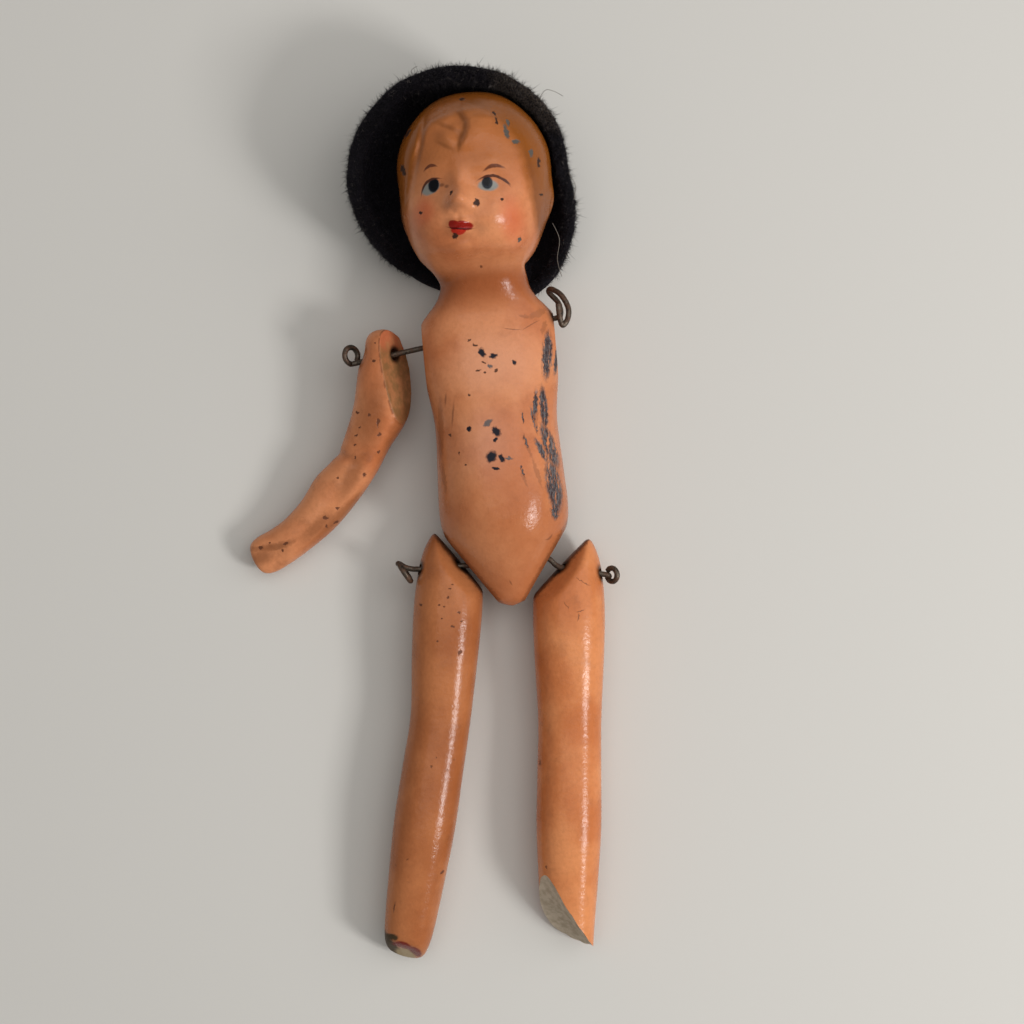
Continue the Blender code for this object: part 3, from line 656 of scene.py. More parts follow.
@dataclass(frozen=True)
class BareBisque:
    """The grey fired body where a limb is broken, mottled and specked with dirt."""

    pale: Colour = srgb(194, 178, 156)
    dark: Colour = srgb(170, 154, 132)
    speck: Colour = srgb(84, 74, 62)
    bump: float = 0.05

    def material(self, name: str) -> Material:
        """The broken face's material."""
        graph = Graph(name)
        place = graph.place()
        mottle = graph.rise(graph.noise(place, 1.1, 6.0), 0.36, 0.66)
        colour = graph.mix(mottle, self.pale, self.dark)
        specks = graph.rise(graph.noise(place, 6.0, 2.0), 0.62, 0.74)
        colour = graph.mix(specks * 0.25, colour, self.speck)
        grain = graph.noise(place, 3.2, 8.0) + graph.noise(place, 11.0, 3.0) * 0.4
        graph.relief(grain, self.bump)
        return graph.surface({"Base Color": colour, "Roughness": mottle * 0.15 + 0.72})


@dataclass(frozen=True)
class IronWire:
    """Dull brown soft iron, with rust in patches."""

    iron: Colour = srgb(88, 78, 68)
    rust: Colour = srgb(84, 58, 40)
    black: Colour = srgb(38, 30, 26)
    bump: float = 0.05

    def material(self) -> Material:
        """The wire's material."""
        graph = Graph("soft_iron_wire")
        place = graph.place()
        rusty = graph.rise(graph.noise(place, 1.3, 5.0), 0.40, 0.62)
        scale = graph.rise(graph.noise(place, 4.5, 4.0), 0.50, 0.68)
        colour = graph.mix(rusty, self.iron, self.rust)
        colour = graph.mix(scale * 0.75, colour, self.black)
        graph.relief(graph.noise(place, 5.0, 6.0) + rusty * 0.5, self.bump)
        return graph.surface({
            "Base Color": colour,
            "Metallic": 0.85 - rusty * 0.6,
            "Roughness": rusty * 0.25 + scale * 0.12 + 0.36,
        })


@dataclass(frozen=True)
class WoolFelt:
    """Fuzzy blue-black wool felt, worn brown at the rim on the doll's left, partly a painted
    highlight.
    """

    wool: Colour = srgb(24, 21, 26)
    shade: Colour = srgb(7, 6, 8)
    # Worn fuzz, partly a painted highlight on the rim's top.
    worn_and_lit: Colour = srgb(112, 98, 82)
    pale_fibre: Colour = srgb(96, 88, 92)
    lint: Colour = srgb(120, 112, 106)
    sheen: Colour = srgb(120, 112, 132)
    bump: float = 0.25
    rubbed_rim = Mark(7.0, 27.0, 4.6, 1.7, -42, 0.0, 0.5)

    def material(self, name: str, lift: float) -> Material:
        """The felt's material.

        Args:
            name: The material's name.
            lift: How much paler than the cloth the fibres are, from 0 to 1.

        Returns:
            The finished material.
        """
        graph = Graph(name)
        place = graph.place()
        clumps = graph.rise(graph.noise(place, 0.9, 5.0), 0.36, 0.68)
        fibres = graph.rise(graph.noise(place, 5.5, 4.0), 0.40, 0.70)
        colour = graph.mix(clumps * 0.5 + fibres * 0.5, self.shade, self.wool)
        # The worn rim: brown fuzz, partly a painted highlight on the rim's lit top.
        worn = graph.mark(graph.wobbled(place, 0.7, 2.2), self.rubbed_rim)
        colour = graph.mix(worn * fibres * (0.6 + 0.3 * lift), colour, self.worn_and_lit)
        if lift:
            lint = graph.rise(graph.noise(place, 1.5, 3.0), 0.56, 0.68)
            colour = graph.mix(fibres * lift * 0.15, colour, self.pale_fibre)
            colour = graph.mix(lint * 0.45, colour, self.lint)
        graph.relief(graph.noise(place, 3.2, 8.0) + clumps, self.bump)
        return graph.surface({
            "Base Color": colour,
            "Roughness": 0.95,
            "Specular IOR Level": 0.15,
            "Sheen Weight": 0.12,
            "Sheen Roughness": 0.5,
            "Sheen Tint": self.sheen,
        })


class Side(Enum):
    """One side of the doll; the value is its sign along x."""

    RIGHT = -1
    LEFT = 1


@dataclass
class HeadTorso:
    """The head and torso casting, with its moulded face and hair."""

    segments: int = 236
    front_share: float = 0.68
    rings: int = 404
    head_half_width: float = 9.4
    head_half_depth: float = 9.65
    head_level: float = 18.0
    head_z: float = 11.6
    chin: float = 8.2
    crown: float = 28.9
    face_shift: float = -1.8
    face_turn: float = -0.085
    neck_half_width: float = 5.45
    neck: float = 6.0
    shoulder_half_width: float = 8.85
    shoulder_seat: float = 8.25
    shoulder: float = -1.4
    waist_half_width: float = 7.7
    waist: float = -11.5
    hip_half_width: float = 8.15
    hip: float = -22.5
    crotch: float = -34.7
    chest_front: float = 12.9
    belly_front: float = 13.7
    shoulder_back: float = 2.1
    waist_back: float = 2.3
    hip_side: float = 5.6
    shoulder_side: float = 7.6
    neck_side: float = 8.6
    seat_top_x: float = 7.95
    seat_top_y: float = -25.0
    seat_angle: float = math.radians(34.6)
    hair_top: float = 22.6
    hair_bend: float = 0.030
    hair_curl: float = 0.0016
    hair_step: float = 0.36
    forelock_height: float = 0.72
    crease_step: float = 0.22
    ear_level: float = 14.5
    ear_height: float = 0.55
    ear_hollow: float = 0.22
    relief_scale: float = 9.5
    fine_steps: int = 4000
    bore_past: float = 3.0
    hip_bore: float = 12.0
    sharp: float = 40.0

    # Relief of the face: across from its midline, y, spread across, spread up, height.
    relief = (
        (0.0, 14.3, 1.00, 0.95, 1.75),
        (0.0, 16.3, 0.75, 1.50, 0.55),
        (-0.95, 13.9, 0.55, 0.50, 0.40),
        (0.95, 13.9, 0.55, 0.50, 0.40),
        (-3.4, 16.3, 1.55, 1.00, -0.65),
        (3.4, 16.2, 1.55, 1.00, -0.65),
        (-3.4, 16.3, 0.85, 0.70, 0.35),
        (3.4, 16.2, 0.85, 0.70, 0.35),
        (-3.4, 18.6, 1.70, 0.70, 0.25),
        (3.4, 18.4, 1.70, 0.70, 0.25),
        (-3.9, 12.6, 1.70, 1.70, 0.50),
        (3.9, 12.4, 1.70, 1.70, 0.50),
        (-0.45, 11.65, 0.65, 0.42, 0.50),
        (0.45, 11.65, 0.65, 0.42, 0.50),
        (0.0, 10.70, 0.85, 0.38, 0.50),
        (0.0, 9.85, 1.20, 0.40, -0.35),
        (0.0, 8.80, 1.40, 0.95, 0.55),
    )
    # Finer relief of lids, nostrils, upper lip and the parting of the lips.
    fine_relief = (
        (-3.4, 17.15, 1.05, 0.20, 0.10),
        (3.4, 17.05, 1.05, 0.20, 0.10),
        (-0.62, 13.15, 0.26, 0.22, -0.22),
        (0.62, 13.15, 0.26, 0.22, -0.22),
        (0.0, 12.55, 0.26, 0.45, -0.16),
        (0.0, 11.18, 0.95, 0.13, -0.20),
        (0.0, 11.95, 0.22, 0.20, -0.12),
    )
    # Moulded hair: the crest of the forelock and the crease by the temple, as y and across.
    forelock = ((19.8, 0.55), (20.8, 0.75), (21.8, 1.15), (22.9, 1.50), (24.0, 1.40), (25.2, 0.70))
    crease = ((14.0, -6.75), (15.6, -6.45), (17.5, -5.80), (19.8, -5.25), (21.5, -4.65), (25.6, -4.25))
    # Soft locks beside the forelock: across, y, half length, half width, turn and height.
    locks = (
        (-1.35, 21.85, 1.05, 0.52, -37, 0.46),
        (-1.75, 24.55, 1.30, 0.66, 22, 0.50),
        (-0.30, 23.20, 0.75, 0.42, -35, 0.22),
        (3.60, 24.40, 1.80, 0.55, -38, 0.22),
        (-3.70, 23.60, 1.20, 0.50, 60, 0.24),
    )

    def sections(self) -> list:
        """Rows of y, x of the middle, half width, z of the side, of the front and of the back."""
        rows = []
        fork = (
            (0.00, 0.02, 0.02, 0.05),
            (0.06, 0.245, 0.20, 0.42),
            (0.18, 0.37, 0.36, 0.62),
            (0.36, 0.555, 0.56, 0.80),
            (0.56, 0.76, 0.75, 0.91),
            (0.76, 0.94, 0.90, 0.97),
            (1.00, 1.00, 0.975, 0.985),
        )
        for level, width, front, back in fork:
            y = self.crotch + level * (self.hip - self.crotch)
            front_z = self.hip_side + front * (self.belly_front - self.hip_side)
            half_width = width * self.hip_half_width
            rows.append((y, 0, half_width, self.hip_side, front_z, self.hip_side * (1 - back)))
        side = (self.hip_side + self.shoulder_side) / 2
        belly_width = (self.hip_half_width + self.waist_half_width) / 2
        chest_y = (self.waist + self.shoulder) / 2
        chest_width = (self.waist_half_width + self.shoulder_half_width) / 2
        small_of_back = (self.hip + self.waist) / 2
        belly_z = self.belly_front
        chest_z = self.chest_front
        back_z = self.waist_back
        rows += [
            (small_of_back, 0, belly_width, self.hip_side, belly_z, back_z * 0.35),
            (self.waist, 0, self.waist_half_width, side, belly_z * 0.965, back_z),
            (chest_y, 0, chest_width, self.shoulder_side, chest_z, back_z),
        ]
        shoulder = (self.shoulder, 0, self.shoulder_half_width, self.shoulder_side)
        rows.append((*shoulder, chest_z, self.shoulder_back))
        neck_back = self.shoulder_back + 1.7
        collar = (
            (0.34, 0.86, 0.25, 0.975),
            (0.52, 0.58, 0.40, 0.990),
            (0.66, 0.30, 0.60, 1.020),
            (0.82, 0.09, 0.80, 1.060),
        )
        for level, spread, blend, front in collar:
            y = self.shoulder + level * (self.neck - self.shoulder)
            flare = self.shoulder_half_width - self.neck_half_width
            side = self.shoulder_side + blend * (self.neck_side - self.shoulder_side)
            back = self.shoulder_back + blend * (neck_back - self.shoulder_back)
            half_width = self.neck_half_width + spread * flare
            rows.append((y, 0, half_width, side, chest_z * front, back))
        rows.append((self.neck, 0, self.neck_half_width, self.neck_side, chest_z * 1.12, neck_back))
        return rows + self.head_sections()

    def head_sections(self) -> list:
        """Rows of the head, from under the jaw to the crown."""
        shares = (
            (-0.045, -0.05, 0.605, 0.45, 0.850),
            (0.000, -0.05, 0.690, 0.66, 0.865),
            (0.050, -0.05, 0.775, 0.83, 0.890),
            (0.152, -0.04, 0.880, 0.933, 0.943),
            (0.290, -0.02, 0.960, 0.974, 0.984),
            (0.452, 0.00, 1.000, 1.000, 1.000),
            (0.613, 0.00, 0.995, 0.985, 0.974),
            (0.751, 0.00, 0.885, 0.860, 0.870),
            (0.866, 0.00, 0.700, 0.640, 0.684),
            (0.945, 0.00, 0.490, 0.410, 0.456),
            (0.986, 0.00, 0.270, 0.200, 0.228),
            (1.000, 0.00, 0.020, 0.010, 0.010),
        )
        rows = []
        for level, shift, width, front, back in shares:
            y = self.chin + level * (self.crown - self.chin)
            front_z = self.head_z + front * self.head_half_depth
            back_z = self.head_z - back * self.head_half_depth
            sizes = (shift * self.head_half_width, width * self.head_half_width)
            rows.append((y, *sizes, self.head_z, front_z, back_z))
        return rows

    def ring_positions(self, down: Array) -> Array:
        """Where a ball's rings fall along the sections, closer together on the face.

        Args:
            down: Share of the way down from the crown.

        Returns:
            Fractional indexes into the sections.
        """
        sections = self.sections()
        fine = np.linspace(0, len(sections) - 1, self.fine_steps)
        rows = smooth_rows(sections, fine)
        y = rows[:, 0]
        density = 1.0 + 1.5 * ease(y, 6.0, 9.0) * ease(y, 26.5, 23.0)
        steps = np.hypot(np.diff(y), np.diff(rows[:, 2])) * density[1:]
        along = np.concatenate(([0.0], np.cumsum(steps)))
        return np.interp(1.0 - down, along / along[-1], fine)

    def face_middle(self, y: Array) -> Array:
        """The face's own midline, which leans because the head is turned."""
        return self.face_shift - self.face_turn * (y - self.head_level)

    def hairline(self, across: Array) -> Array:
        """Height of the front hairline at a distance from the face's midline."""
        return self.hair_top - self.hair_bend * across**2 - self.hair_curl * across**4

    def face_lift(self, across: Array, y: Array) -> Array:
        """How far the front of the head stands out from its plain section.

        Args:
            across: Distance from the face's midline.
            y: Place along the doll.

        Returns:
            The lift at each point, in millimetres.
        """
        lift = np.zeros(len(y))
        for x, v, spread, rise, height in self.relief + self.fine_relief:
            lift += height * bell(np.hypot((across - x) / spread, (y - v) / rise))
        line = self.hairline(across)
        lift += self.hair_step * ease(y, line - 1.6, line + 2.2) * ease(across, 6.5, 3.0)
        crest_y, crest_x = np.array(self.forelock).T
        from_crest = across - np.interp(y, crest_y, crest_x)
        swoop = bell(from_crest / np.where(from_crest < 0, 0.42, 1.8))
        lift += self.forelock_height * swoop * ease(y, 19.4, 21.6) * ease(y, 27.0, 25.0)
        for x, v, long, wide, turn, height in self.locks:
            c = math.cos(math.radians(turn))
            s = math.sin(math.radians(turn))
            u = ((across - x) * c + (y - v) * s) / long
            w = ((y - v) * c - (across - x) * s) / wide
            lift += height * bell(np.hypot(u, w))
        crease_y, crease_x = np.array(self.crease).T
        from_crease = across - np.interp(y, crease_y, crease_x)
        beside = ease(y, 13.6, 15.2) * ease(y, 26.4, 25.0)
        raised = self.crease_step * ease(-from_crease, -0.1, 0.7)
        lift += beside * (raised - self.crease_step * bell(from_crease / 0.28))
        return lift

    def relieved(self, points: Array) -> Array:
        """Points of the plain casting, moved out to the modelled face, hair and ears."""
        x, y, z = points.T
        scale = self.head_half_width / self.relief_scale
        across = (x - self.face_middle(y)) / scale
        level = self.head_level + (y - self.head_level) / scale
        on_head = y >= self.chin - 1.5
        front = ease((z - self.head_z) / self.head_half_depth, 0.20, 0.62)
        lift = self.face_lift(across, level) * scale * front
        ear_z = np.where(x > 0, 1.2, -2.5)
        up = (z - self.head_z) / scale - ear_z
        from_ear = level - self.ear_level
        ear = self.ear_height * bell(np.hypot(from_ear / 1.5, up / 0.95))
        ear -= self.ear_hollow * bell(np.hypot((from_ear + 0.2) / 0.62, (up - 0.45) / 0.34))
        moved = points.copy()
        moved[:, 0] += np.where(on_head, np.copysign(ear * scale, x), 0.0)
        moved[:, 2] += np.where(on_head, lift, 0.0)
        return moved

    def skin(self, angle: Array, down: Array) -> Array:
        """The casting's surface over a ball's directions.

        Args:
            angle: Angle round the ball.
            down: Share of the way down from its top.

        Returns:
            One point of the doll's frame for each direction.
        """
        turn = np.mod(-angle, FULL_TURN) / FULL_TURN
        front = math.pi * turn / self.front_share
        back = math.pi * (1 + (turn - self.front_share) / (1 - self.front_share))
        around = np.where(turn < self.front_share, front, back)
        rows = smooth_rows(self.sections(), self.ring_positions(down))
        y, middle, half_width, side, front_z, back_z = rows.T
        squareness = 2.0 + 0.25 * ease(y, self.seat_top_y, self.hip + 2)
        c, s = rounded(around, squareness)
        x = middle + c * np.maximum(half_width, 0.1)
        x = np.where(y < self.neck, np.clip(x, -self.shoulder_seat, self.shoulder_seat), x)
        z = side + s * np.where(s > 0, front_z - side, side - back_z)
        x = np.where(at_pole(down), 0.0, x)
        z = np.where(at_pole(down), side, z)
        return self.relieved(np.stack((x, y, z), axis=1))

    def build(self, wires: "WireRun") -> Piece:
        """Moulds the casting, cuts its hip seats and drills it for the wires.

        Args:
            wires: The straight runs of the two wires.

        Returns:
            The casting.
        """
        piece = Bench.ball("painted_head_torso", self.segments, self.rings)
        Bench.mould(piece, self.skin(*Bench.directions(piece)))
        for side in Side:
            point, normal = self.seat(side)
            Bench.slice_flat(piece, point, Vector(normal))
        past = self.shoulder_seat + self.bore_past
        Bench.drill(piece, wires.shoulder(-past), wires.shoulder(past), BORE_RADIUS)
        Bench.drill(piece, wires.hip(-self.hip_bore), wires.hip(self.hip_bore), BORE_RADIUS)
        Bench.smooth_shade(piece, self.sharp)
        return piece

    def seat(self, side: Side) -> tuple[Array, Array]:
        """A point of a hip seat's plane, and the way that the seat faces."""
        across = side.value * math.cos(self.seat_angle)
        point = np.array((side.value * self.seat_top_x, self.seat_top_y, self.hip_side))
        return point, np.array((across, -math.sin(self.seat_angle), 0.0))

    def seat_x(self, y: float) -> float:
        """Half width of the torso between its two hip seats at a height."""
        return self.seat_top_x + (y - self.seat_top_y) * math.tan(self.seat_angle)

    def dress(self, piece: Piece, wires: "WireRun") -> None:
        """Paints the casting: flesh, hair, face, the wear of the years, and painted shade and sheen.
        """
        art = Painting("flesh_paint_head_torso", FleshPaint(), speckles=0.12, grubby=0.16)
        FacePaint().lay(art, self)
        TorsoWear().lay(art, wires)
        # A dark line by each hip seat at the fork: dirt, and painted shade in the joint to the leg.
        low = art.graph.rise(art.graph.parts(art.place)[1], -23.0, -25.0)
        for side in Side:
            past = art.graph.beyond(art.chipped, *self.seat(side))
            art.touch(art.graph.rise(past, -0.62, -0.22) * low, art.paint.dirt, 0.7)
        piece.data.materials.append(art.finish())
        Bench.deliver(piece, "torso", "bisque", "head_torso")


@dataclass(frozen=True)
class FacePaint:
    """The painted hair, brows, eyes, lips and blush, the chips in them, and painted shade on the face.
    """

    hair: Colour = srgb(136, 75, 22)
    hair_dark: Colour = srgb(94, 50, 16)
    brow: Colour = srgb(92, 48, 32)
    lash: Colour = srgb(74, 40, 30)
    white: Colour = srgb(128, 134, 130)
    iris: Colour = srgb(20, 27, 36)
    pupil: Colour = srgb(6, 7, 12)
    lip: Colour = srgb(138, 8, 2)
    lower_lip: Colour = srgb(172, 28, 14)
    blush: Colour = srgb(204, 88, 54)
    slate: Colour = srgb(84, 78, 72)
    # Smeared paint, and painted shade under the nose.
    chip: Colour = srgb(56, 32, 22)
    smudge_and_shade: Colour = srgb(120, 82, 58)
    # Browner paint, partly painted shade of the hat.
    forehead_brown_and_shade: Colour = srgb(160, 93, 46)
    lip_line: Colour = srgb(50, 4, 2)

    whites = (Mark(-5.28, 16.30, 1.16, 0.70, 20, 0, 0.2), Mark(1.56, 15.85, 1.18, 0.66, -5, 0, 0.2))
    irises = (Mark(-4.89, 16.58, 0.84, 0.66, 80, 0, 0.16), Mark(1.48, 16.18, 0.80, 0.63, 85, 0, 0.16))
    pupils = (Mark(-4.86, 16.62, 0.70, 0.52, 80, 0, 0.2), Mark(1.42, 16.26, 0.50, 0.40, 85, 0, 0.2))
    lashes = (
        Mark(-5.62, 17.10, 1.40, 0.15, 31, -4.4),
        Mark(2.45, 16.90, 1.80, 0.16, -13, -4.4),
        Mark(3.60, 16.30, 0.75, 0.17, -40, 0),
    )
    brows = (Mark(-5.14, 18.84, 0.78, 0.19, 11, -1.5), Mark(2.38, 18.06, 1.20, 0.21, 5, -1.8))
    corners = (Mark(-3.88, 16.45, 0.30, 0.20, -5, 0, 0.6), Mark(-3.34, 16.16, 0.26, 0.20, -5, 0, 0.6))
    upper = (
        Mark(-2.88, 11.50, 0.72, 0.50, -22, 0.25, 0.14),
        Mark(-1.60, 11.30, 0.98, 0.50, -14, 0.25, 0.14),
        Mark(-2.25, 11.26, 0.62, 0.36, -10, 0, 0.14),
    )
    lower = (Mark(-2.36, 10.80, 0.92, 0.44, 0, 0.4, 0.16),)
    parting = (Mark(-2.20, 11.02, 1.35, 0.09, -9, 1.2, 0.5),)
    cheeks = (Mark(4.09, 11.66, 2.2, 1.3, 90, 0, 0.75), Mark(-6.36, 13.76, 1.5, 1.1, 75, 0, 0.75))
    # Dark hollows of the moulded hair: painted shade, partly darker paint in them.
    groove_shades = (
        Mark(-0.86, 24.30, 0.95, 0.22, -63, 0, 0.8),
        Mark(-0.58, 23.05, 0.80, 0.24, 86, 0, 0.8),
        Mark(-1.05, 21.95, 0.85, 0.24, 58, 0, 0.8),
        Mark(-1.42, 20.95, 0.65, 0.22, 80, 0, 0.8),
        Mark(-2.70, 23.30, 1.20, 0.26, -30, 0, 0.9),
        Mark(-3.10, 20.95, 1.00, 0.22, -35, 0, 0.9),
        Mark(-5.95, 21.30, 2.40, 0.22, 74, 0, 0.9),
    )
    dark_chips = (
        Mark(0.05, 13.89, 0.46, 0.33, 75),
        Mark(-2.92, 10.28, 0.36, 0.26, 15),
        Mark(-6.76, 13.58, 0.17, 0.15),
        Mark(-0.15, 7.01, 0.20, 0.17),
        Mark(3.03, 14.10, 0.19, 0.15),
        Mark(-0.67, 27.16, 0.32, 0.26, 25),
        Mark(-7.60, 23.86, 0.60, 0.33, 55),
        Mark(-8.49, 19.23, 0.74, 0.26, -75),
        Mark(7.83, 18.59, 0.62, 0.16, 80),
        Mark(3.20, 23.48, 0.47, 0.14, -80),
        Mark(3.02, 24.56, 0.40, 0.12, -75),
        Mark(-2.86, 15.18, 0.34, 0.13, 70),
        Mark(7.88, 14.88, 0.26, 0.14, 25),
    )
    slate_chips = (
        Mark(4.27, 22.14, 0.92, 0.27, -80),
        Mark(4.56, 23.37, 0.45, 0.16, -75),
        Mark(5.31, 20.89, 0.48, 0.32, -5),
        Mark(7.04, 19.59, 0.50, 0.24, 75),
        Mark(4.73, 9.49, 0.37, 0.11, 65),
    )
    # Soft brown marks: one beside the mouth, and painted shade under the nose.
    smudges_and_nose_shade = (Mark(0.20, 10.94, 0.80, 0.48, -25, 0, 0.7), Mark(-2.70, 13.65, 0.95, 0.45, -5, 0, 0.8))

    def lay(self, art: Painting, torso: HeadTorso) -> None:
        """Paints the face and hair of a casting over its coat of flesh paint."""
        graph = art.graph
        x, y, z = graph.parts(art.place)
        front = graph.rise(z, 12.5, 14.5) * graph.rise(y, 6.0, 7.5)
        up = y - torso.head_level
        across = x - torso.face_shift + up * torso.face_turn
        squared = across * across
        level = y + squared * torso.hair_bend + squared * squared * torso.hair_curl
        ragged = graph.noise(art.place, 0.9, 4.0) * 1.6 - 0.8
        head = graph.rise(y, 9.0, 10.5)
        # Browner paint over the upper face, partly painted shade of the hat's brim over it.
        art.touch(graph.rise(y, 14.0, 20.5), self.forehead_brown_and_shade, 0.75)
        hair = graph.rise(level + ragged * 1.6, 23.0, 26.5) * head
        art.touch(hair, self.hair, 0.6)
        deep = graph.rise(level + ragged * 2.0, 25.6, 29.0) * head
        art.touch(deep, self.hair_dark, 0.55)
        temple = graph.rise(across + up * -0.19 + ragged * 0.3, -5.4, -6.0)
        temple = temple * graph.rise(y, 13.0, 16.0)
        above = y - 15.2
        beside = graph.rise(x + above * above * 0.06 + ragged * 0.5, 7.0, 8.4)
        temple = temple | beside * graph.rise(y, 13.8, 16.0)
        art.touch(temple, self.hair, 0.9)
        crown = graph.rise(z, 14.0, 11.0) * graph.rise(y, 12.0, 16.0)
        art.touch(crown, self.hair_dark, 0.75)
        # Painted shade in the hair's hollows, partly darker paint there.
        art.touch(graph.marks(art.drawn, self.groove_shades) * front, self.hair_dark, 0.42)
        for place, table, colour, share in (
            (art.place, self.cheeks, self.blush, 0.42),
            (art.chipped, self.smudges_and_nose_shade, self.smudge_and_shade, 0.25),
            (art.drawn, self.whites, self.white, 0.92),
            (art.drawn, self.irises, self.iris, 1.0),
            (art.drawn, self.pupils, self.pupil, 1.0),
            (art.drawn, self.lashes, self.lash, 0.95),
            (art.drawn, self.corners, self.lash, 0.55),
            (art.drawn, self.brows, self.brow, 0.92),
            (art.drawn, self.lower, self.lower_lip, 0.95),
            (art.drawn, self.upper, self.lip, 0.97),
            (art.drawn, self.parting, self.lip_line, 0.8),
        ):
            art.touch(graph.marks(place, table) * front, colour, share)
        art.knock(self.slate_chips, front, self.slate)
        art.knock(self.dark_chips, front, self.chip)


@dataclass(frozen=True)
class TorsoWear:
    """Chips, stains, the scrape down the torso's left side, darker hips, and painted shade and sheen.
    """

    blue_black: Colour = srgb(24, 22, 32)
    slate: Colour = srgb(90, 92, 95)
    scrape_dark: Colour = srgb(34, 34, 42)
    # Painted shade under the chin, partly a deeper tone.
    neck_tone_and_shade: Colour = srgb(128, 56, 12)
    hips: Colour = srgb(160, 94, 56)
    # Paler paint round chips, and a painted sheen.
    pale_paint_and_sheen: Colour = srgb(214, 156, 128)
    scuff: Colour = srgb(138, 84, 54)
    grey: Colour = srgb(104, 92, 88)
    crack: Colour = srgb(110, 64, 42)
    fleck: Colour = srgb(92, 58, 40)
    # Stain and painted shade along the wire holes.
    grime: Colour = srgb(70, 50, 38)

    blobs = (
        Mark(-0.96, -3.17, 0.60, 0.38, -65),
        Mark(0.39, -3.65, 0.46, 0.32, 5),
        Mark(-0.08, -12.95, 0.64, 0.46, -55),
        Mark(-0.24, -13.97, 0.36, 0.22, 55),
        Mark(-0.93, -15.98, 0.72, 0.62, 55),
        Mark(0.33, -16.25, 0.50, 0.34, -65),
        Mark(-0.55, -17.46, 0.50, 0.18, -15),
        Mark(-3.32, -12.33, 0.30, 0.26),
        Mark(2.90, -4.66, 0.34, 0.24, -55),
    )
    # Broad pale patches on belly and chest: paler paint round the chips, and a painted sheen.
    pale = (Mark(-1.2, -14.2, 3.6, 2.8, 80, 0, 0.9), Mark(0.4, -4.6, 4.2, 3.0, 0, 0, 0.9))
    scuffs = (
        Mark(6.3, 1.2, 1.2, 0.42, 25),
        Mark(4.6, 0.9, 0.7, 0.20, -20),
        Mark(6.9, -0.6, 0.9, 0.30, 70),
        Mark(5.0, -10.6, 2.4, 0.30, 86),
        Mark(3.6, -15.2, 1.5, 0.20, -72),
        Mark(4.5, -18.4, 1.9, 0.24, -76),
        Mark(2.9, -19.2, 1.0, 0.16, -70),
        Mark(-6.9, -12.0, 3.4, 0.36, 86),
        Mark(-7.0, -18.0, 2.0, 0.26, 92),
    )
    pale_blobs = (
        Mark(-1.01, -11.83, 0.62, 0.33, 35),
        Mark(1.17, -16.37, 0.41, 0.18, -5),
        Mark(-0.15, -4.90, 0.31, 0.21),
    )
    flecks = (
        Mark(-1.73, -2.17, 0.31, 0.14, -25),
        Mark(-2.45, -1.48, 0.21, 0.12, 15),
        Mark(-0.86, -5.61, 0.23, 0.14),
        Mark(-1.61, -5.29, 0.31, 0.14, 15),
        Mark(0.57, -5.48, 0.23, 0.17),
        Mark(-0.89, -4.39, 0.26, 0.14, -35),
        Mark(-5.74, -12.84, 0.23, 0.15, 85),
        Mark(-4.87, -15.16, 0.23, 0.12, 85),
        Mark(-2.96, -8.22, 0.15, 0.13),
        Mark(-4.17, -16.71, 0.13, 0.13),
    )
    cracks = (
        Mark(2.94, -0.59, 1.03, 0.06, -10, 0.8),
        Mark(5.31, -0.19, 1.17, 0.06, 27, -0.8),
        Mark(0.09, -31.67, 0.37, 0.09, -65),
        Mark(5.39, -26.54, 0.52, 0.13, 35, 1.2),
        Mark(-5.19, -10.31, 1.35, 0.11, 80, 0, 0.7),
        Mark(-5.95, -8.40, 0.65, 0.11, 80, 0, 0.7),
    )
    scrapes = (
        Mark(7.02, -4.03, 2.90, 0.62, 82),
        Mark(8.16, -4.52, 1.83, 0.24, 80),
        Mark(6.04, -10.47, 2.60, 0.48, 90),
        Mark(6.36, -15.18, 2.86, 0.72, -75),
        Mark(6.45, -20.15, 3.12, 0.95, -85),
        Mark(6.31, -23.27, 1.04, 0.52, -90),
        Mark(5.04, -9.91, 1.55, 0.28, 80),
        Mark(4.67, -11.97, 1.55, 0.20, -80),
        Mark(5.26, -15.65, 1.55, 0.34, -67),
        Mark(3.42, -14.35, 0.90, 0.16, -73),
        Mark(3.32, -11.62, 0.64, 0.09, -90),
        Mark(2.70, -18.05, 0.72, 0.14, -75),
    )

    def lay(self, art: Painting, wires: "WireRun") -> None:
        """Wears the torso's paint, and paints shade under the chin and a sheen on the chest."""
        graph = art.graph
        _, y, z = graph.parts(art.place)
        front = graph.rise(z, 6.5, 8.0)
        streaks = graph.stretched(art.chipped, (3.4, 0.38, 1.2))
        torn = graph.rise(graph.noise(streaks, 1.0, 4.0), 0.36, 0.47)
        body = graph.rise(y, 3.5, 1.5)
        scrape = graph.marks(art.chipped, self.scrapes) * torn * front * body
        edge = graph.noise(streaks, 2.4, 3.0)
        slate = graph.mix(graph.rise(edge, 0.44, 0.60), self.scrape_dark, self.slate)
        # Painted shade under the chin, over the neck, partly a deeper tone of its paint.
        neck = graph.rise(y, 0.0, 5.0) * graph.rise(y, 8.2, 5.6)
        art.touch(neck, self.neck_tone_and_shade, 0.75)
        art.touch(graph.rise(y, -15.0, -25.0), self.hips, 0.4)
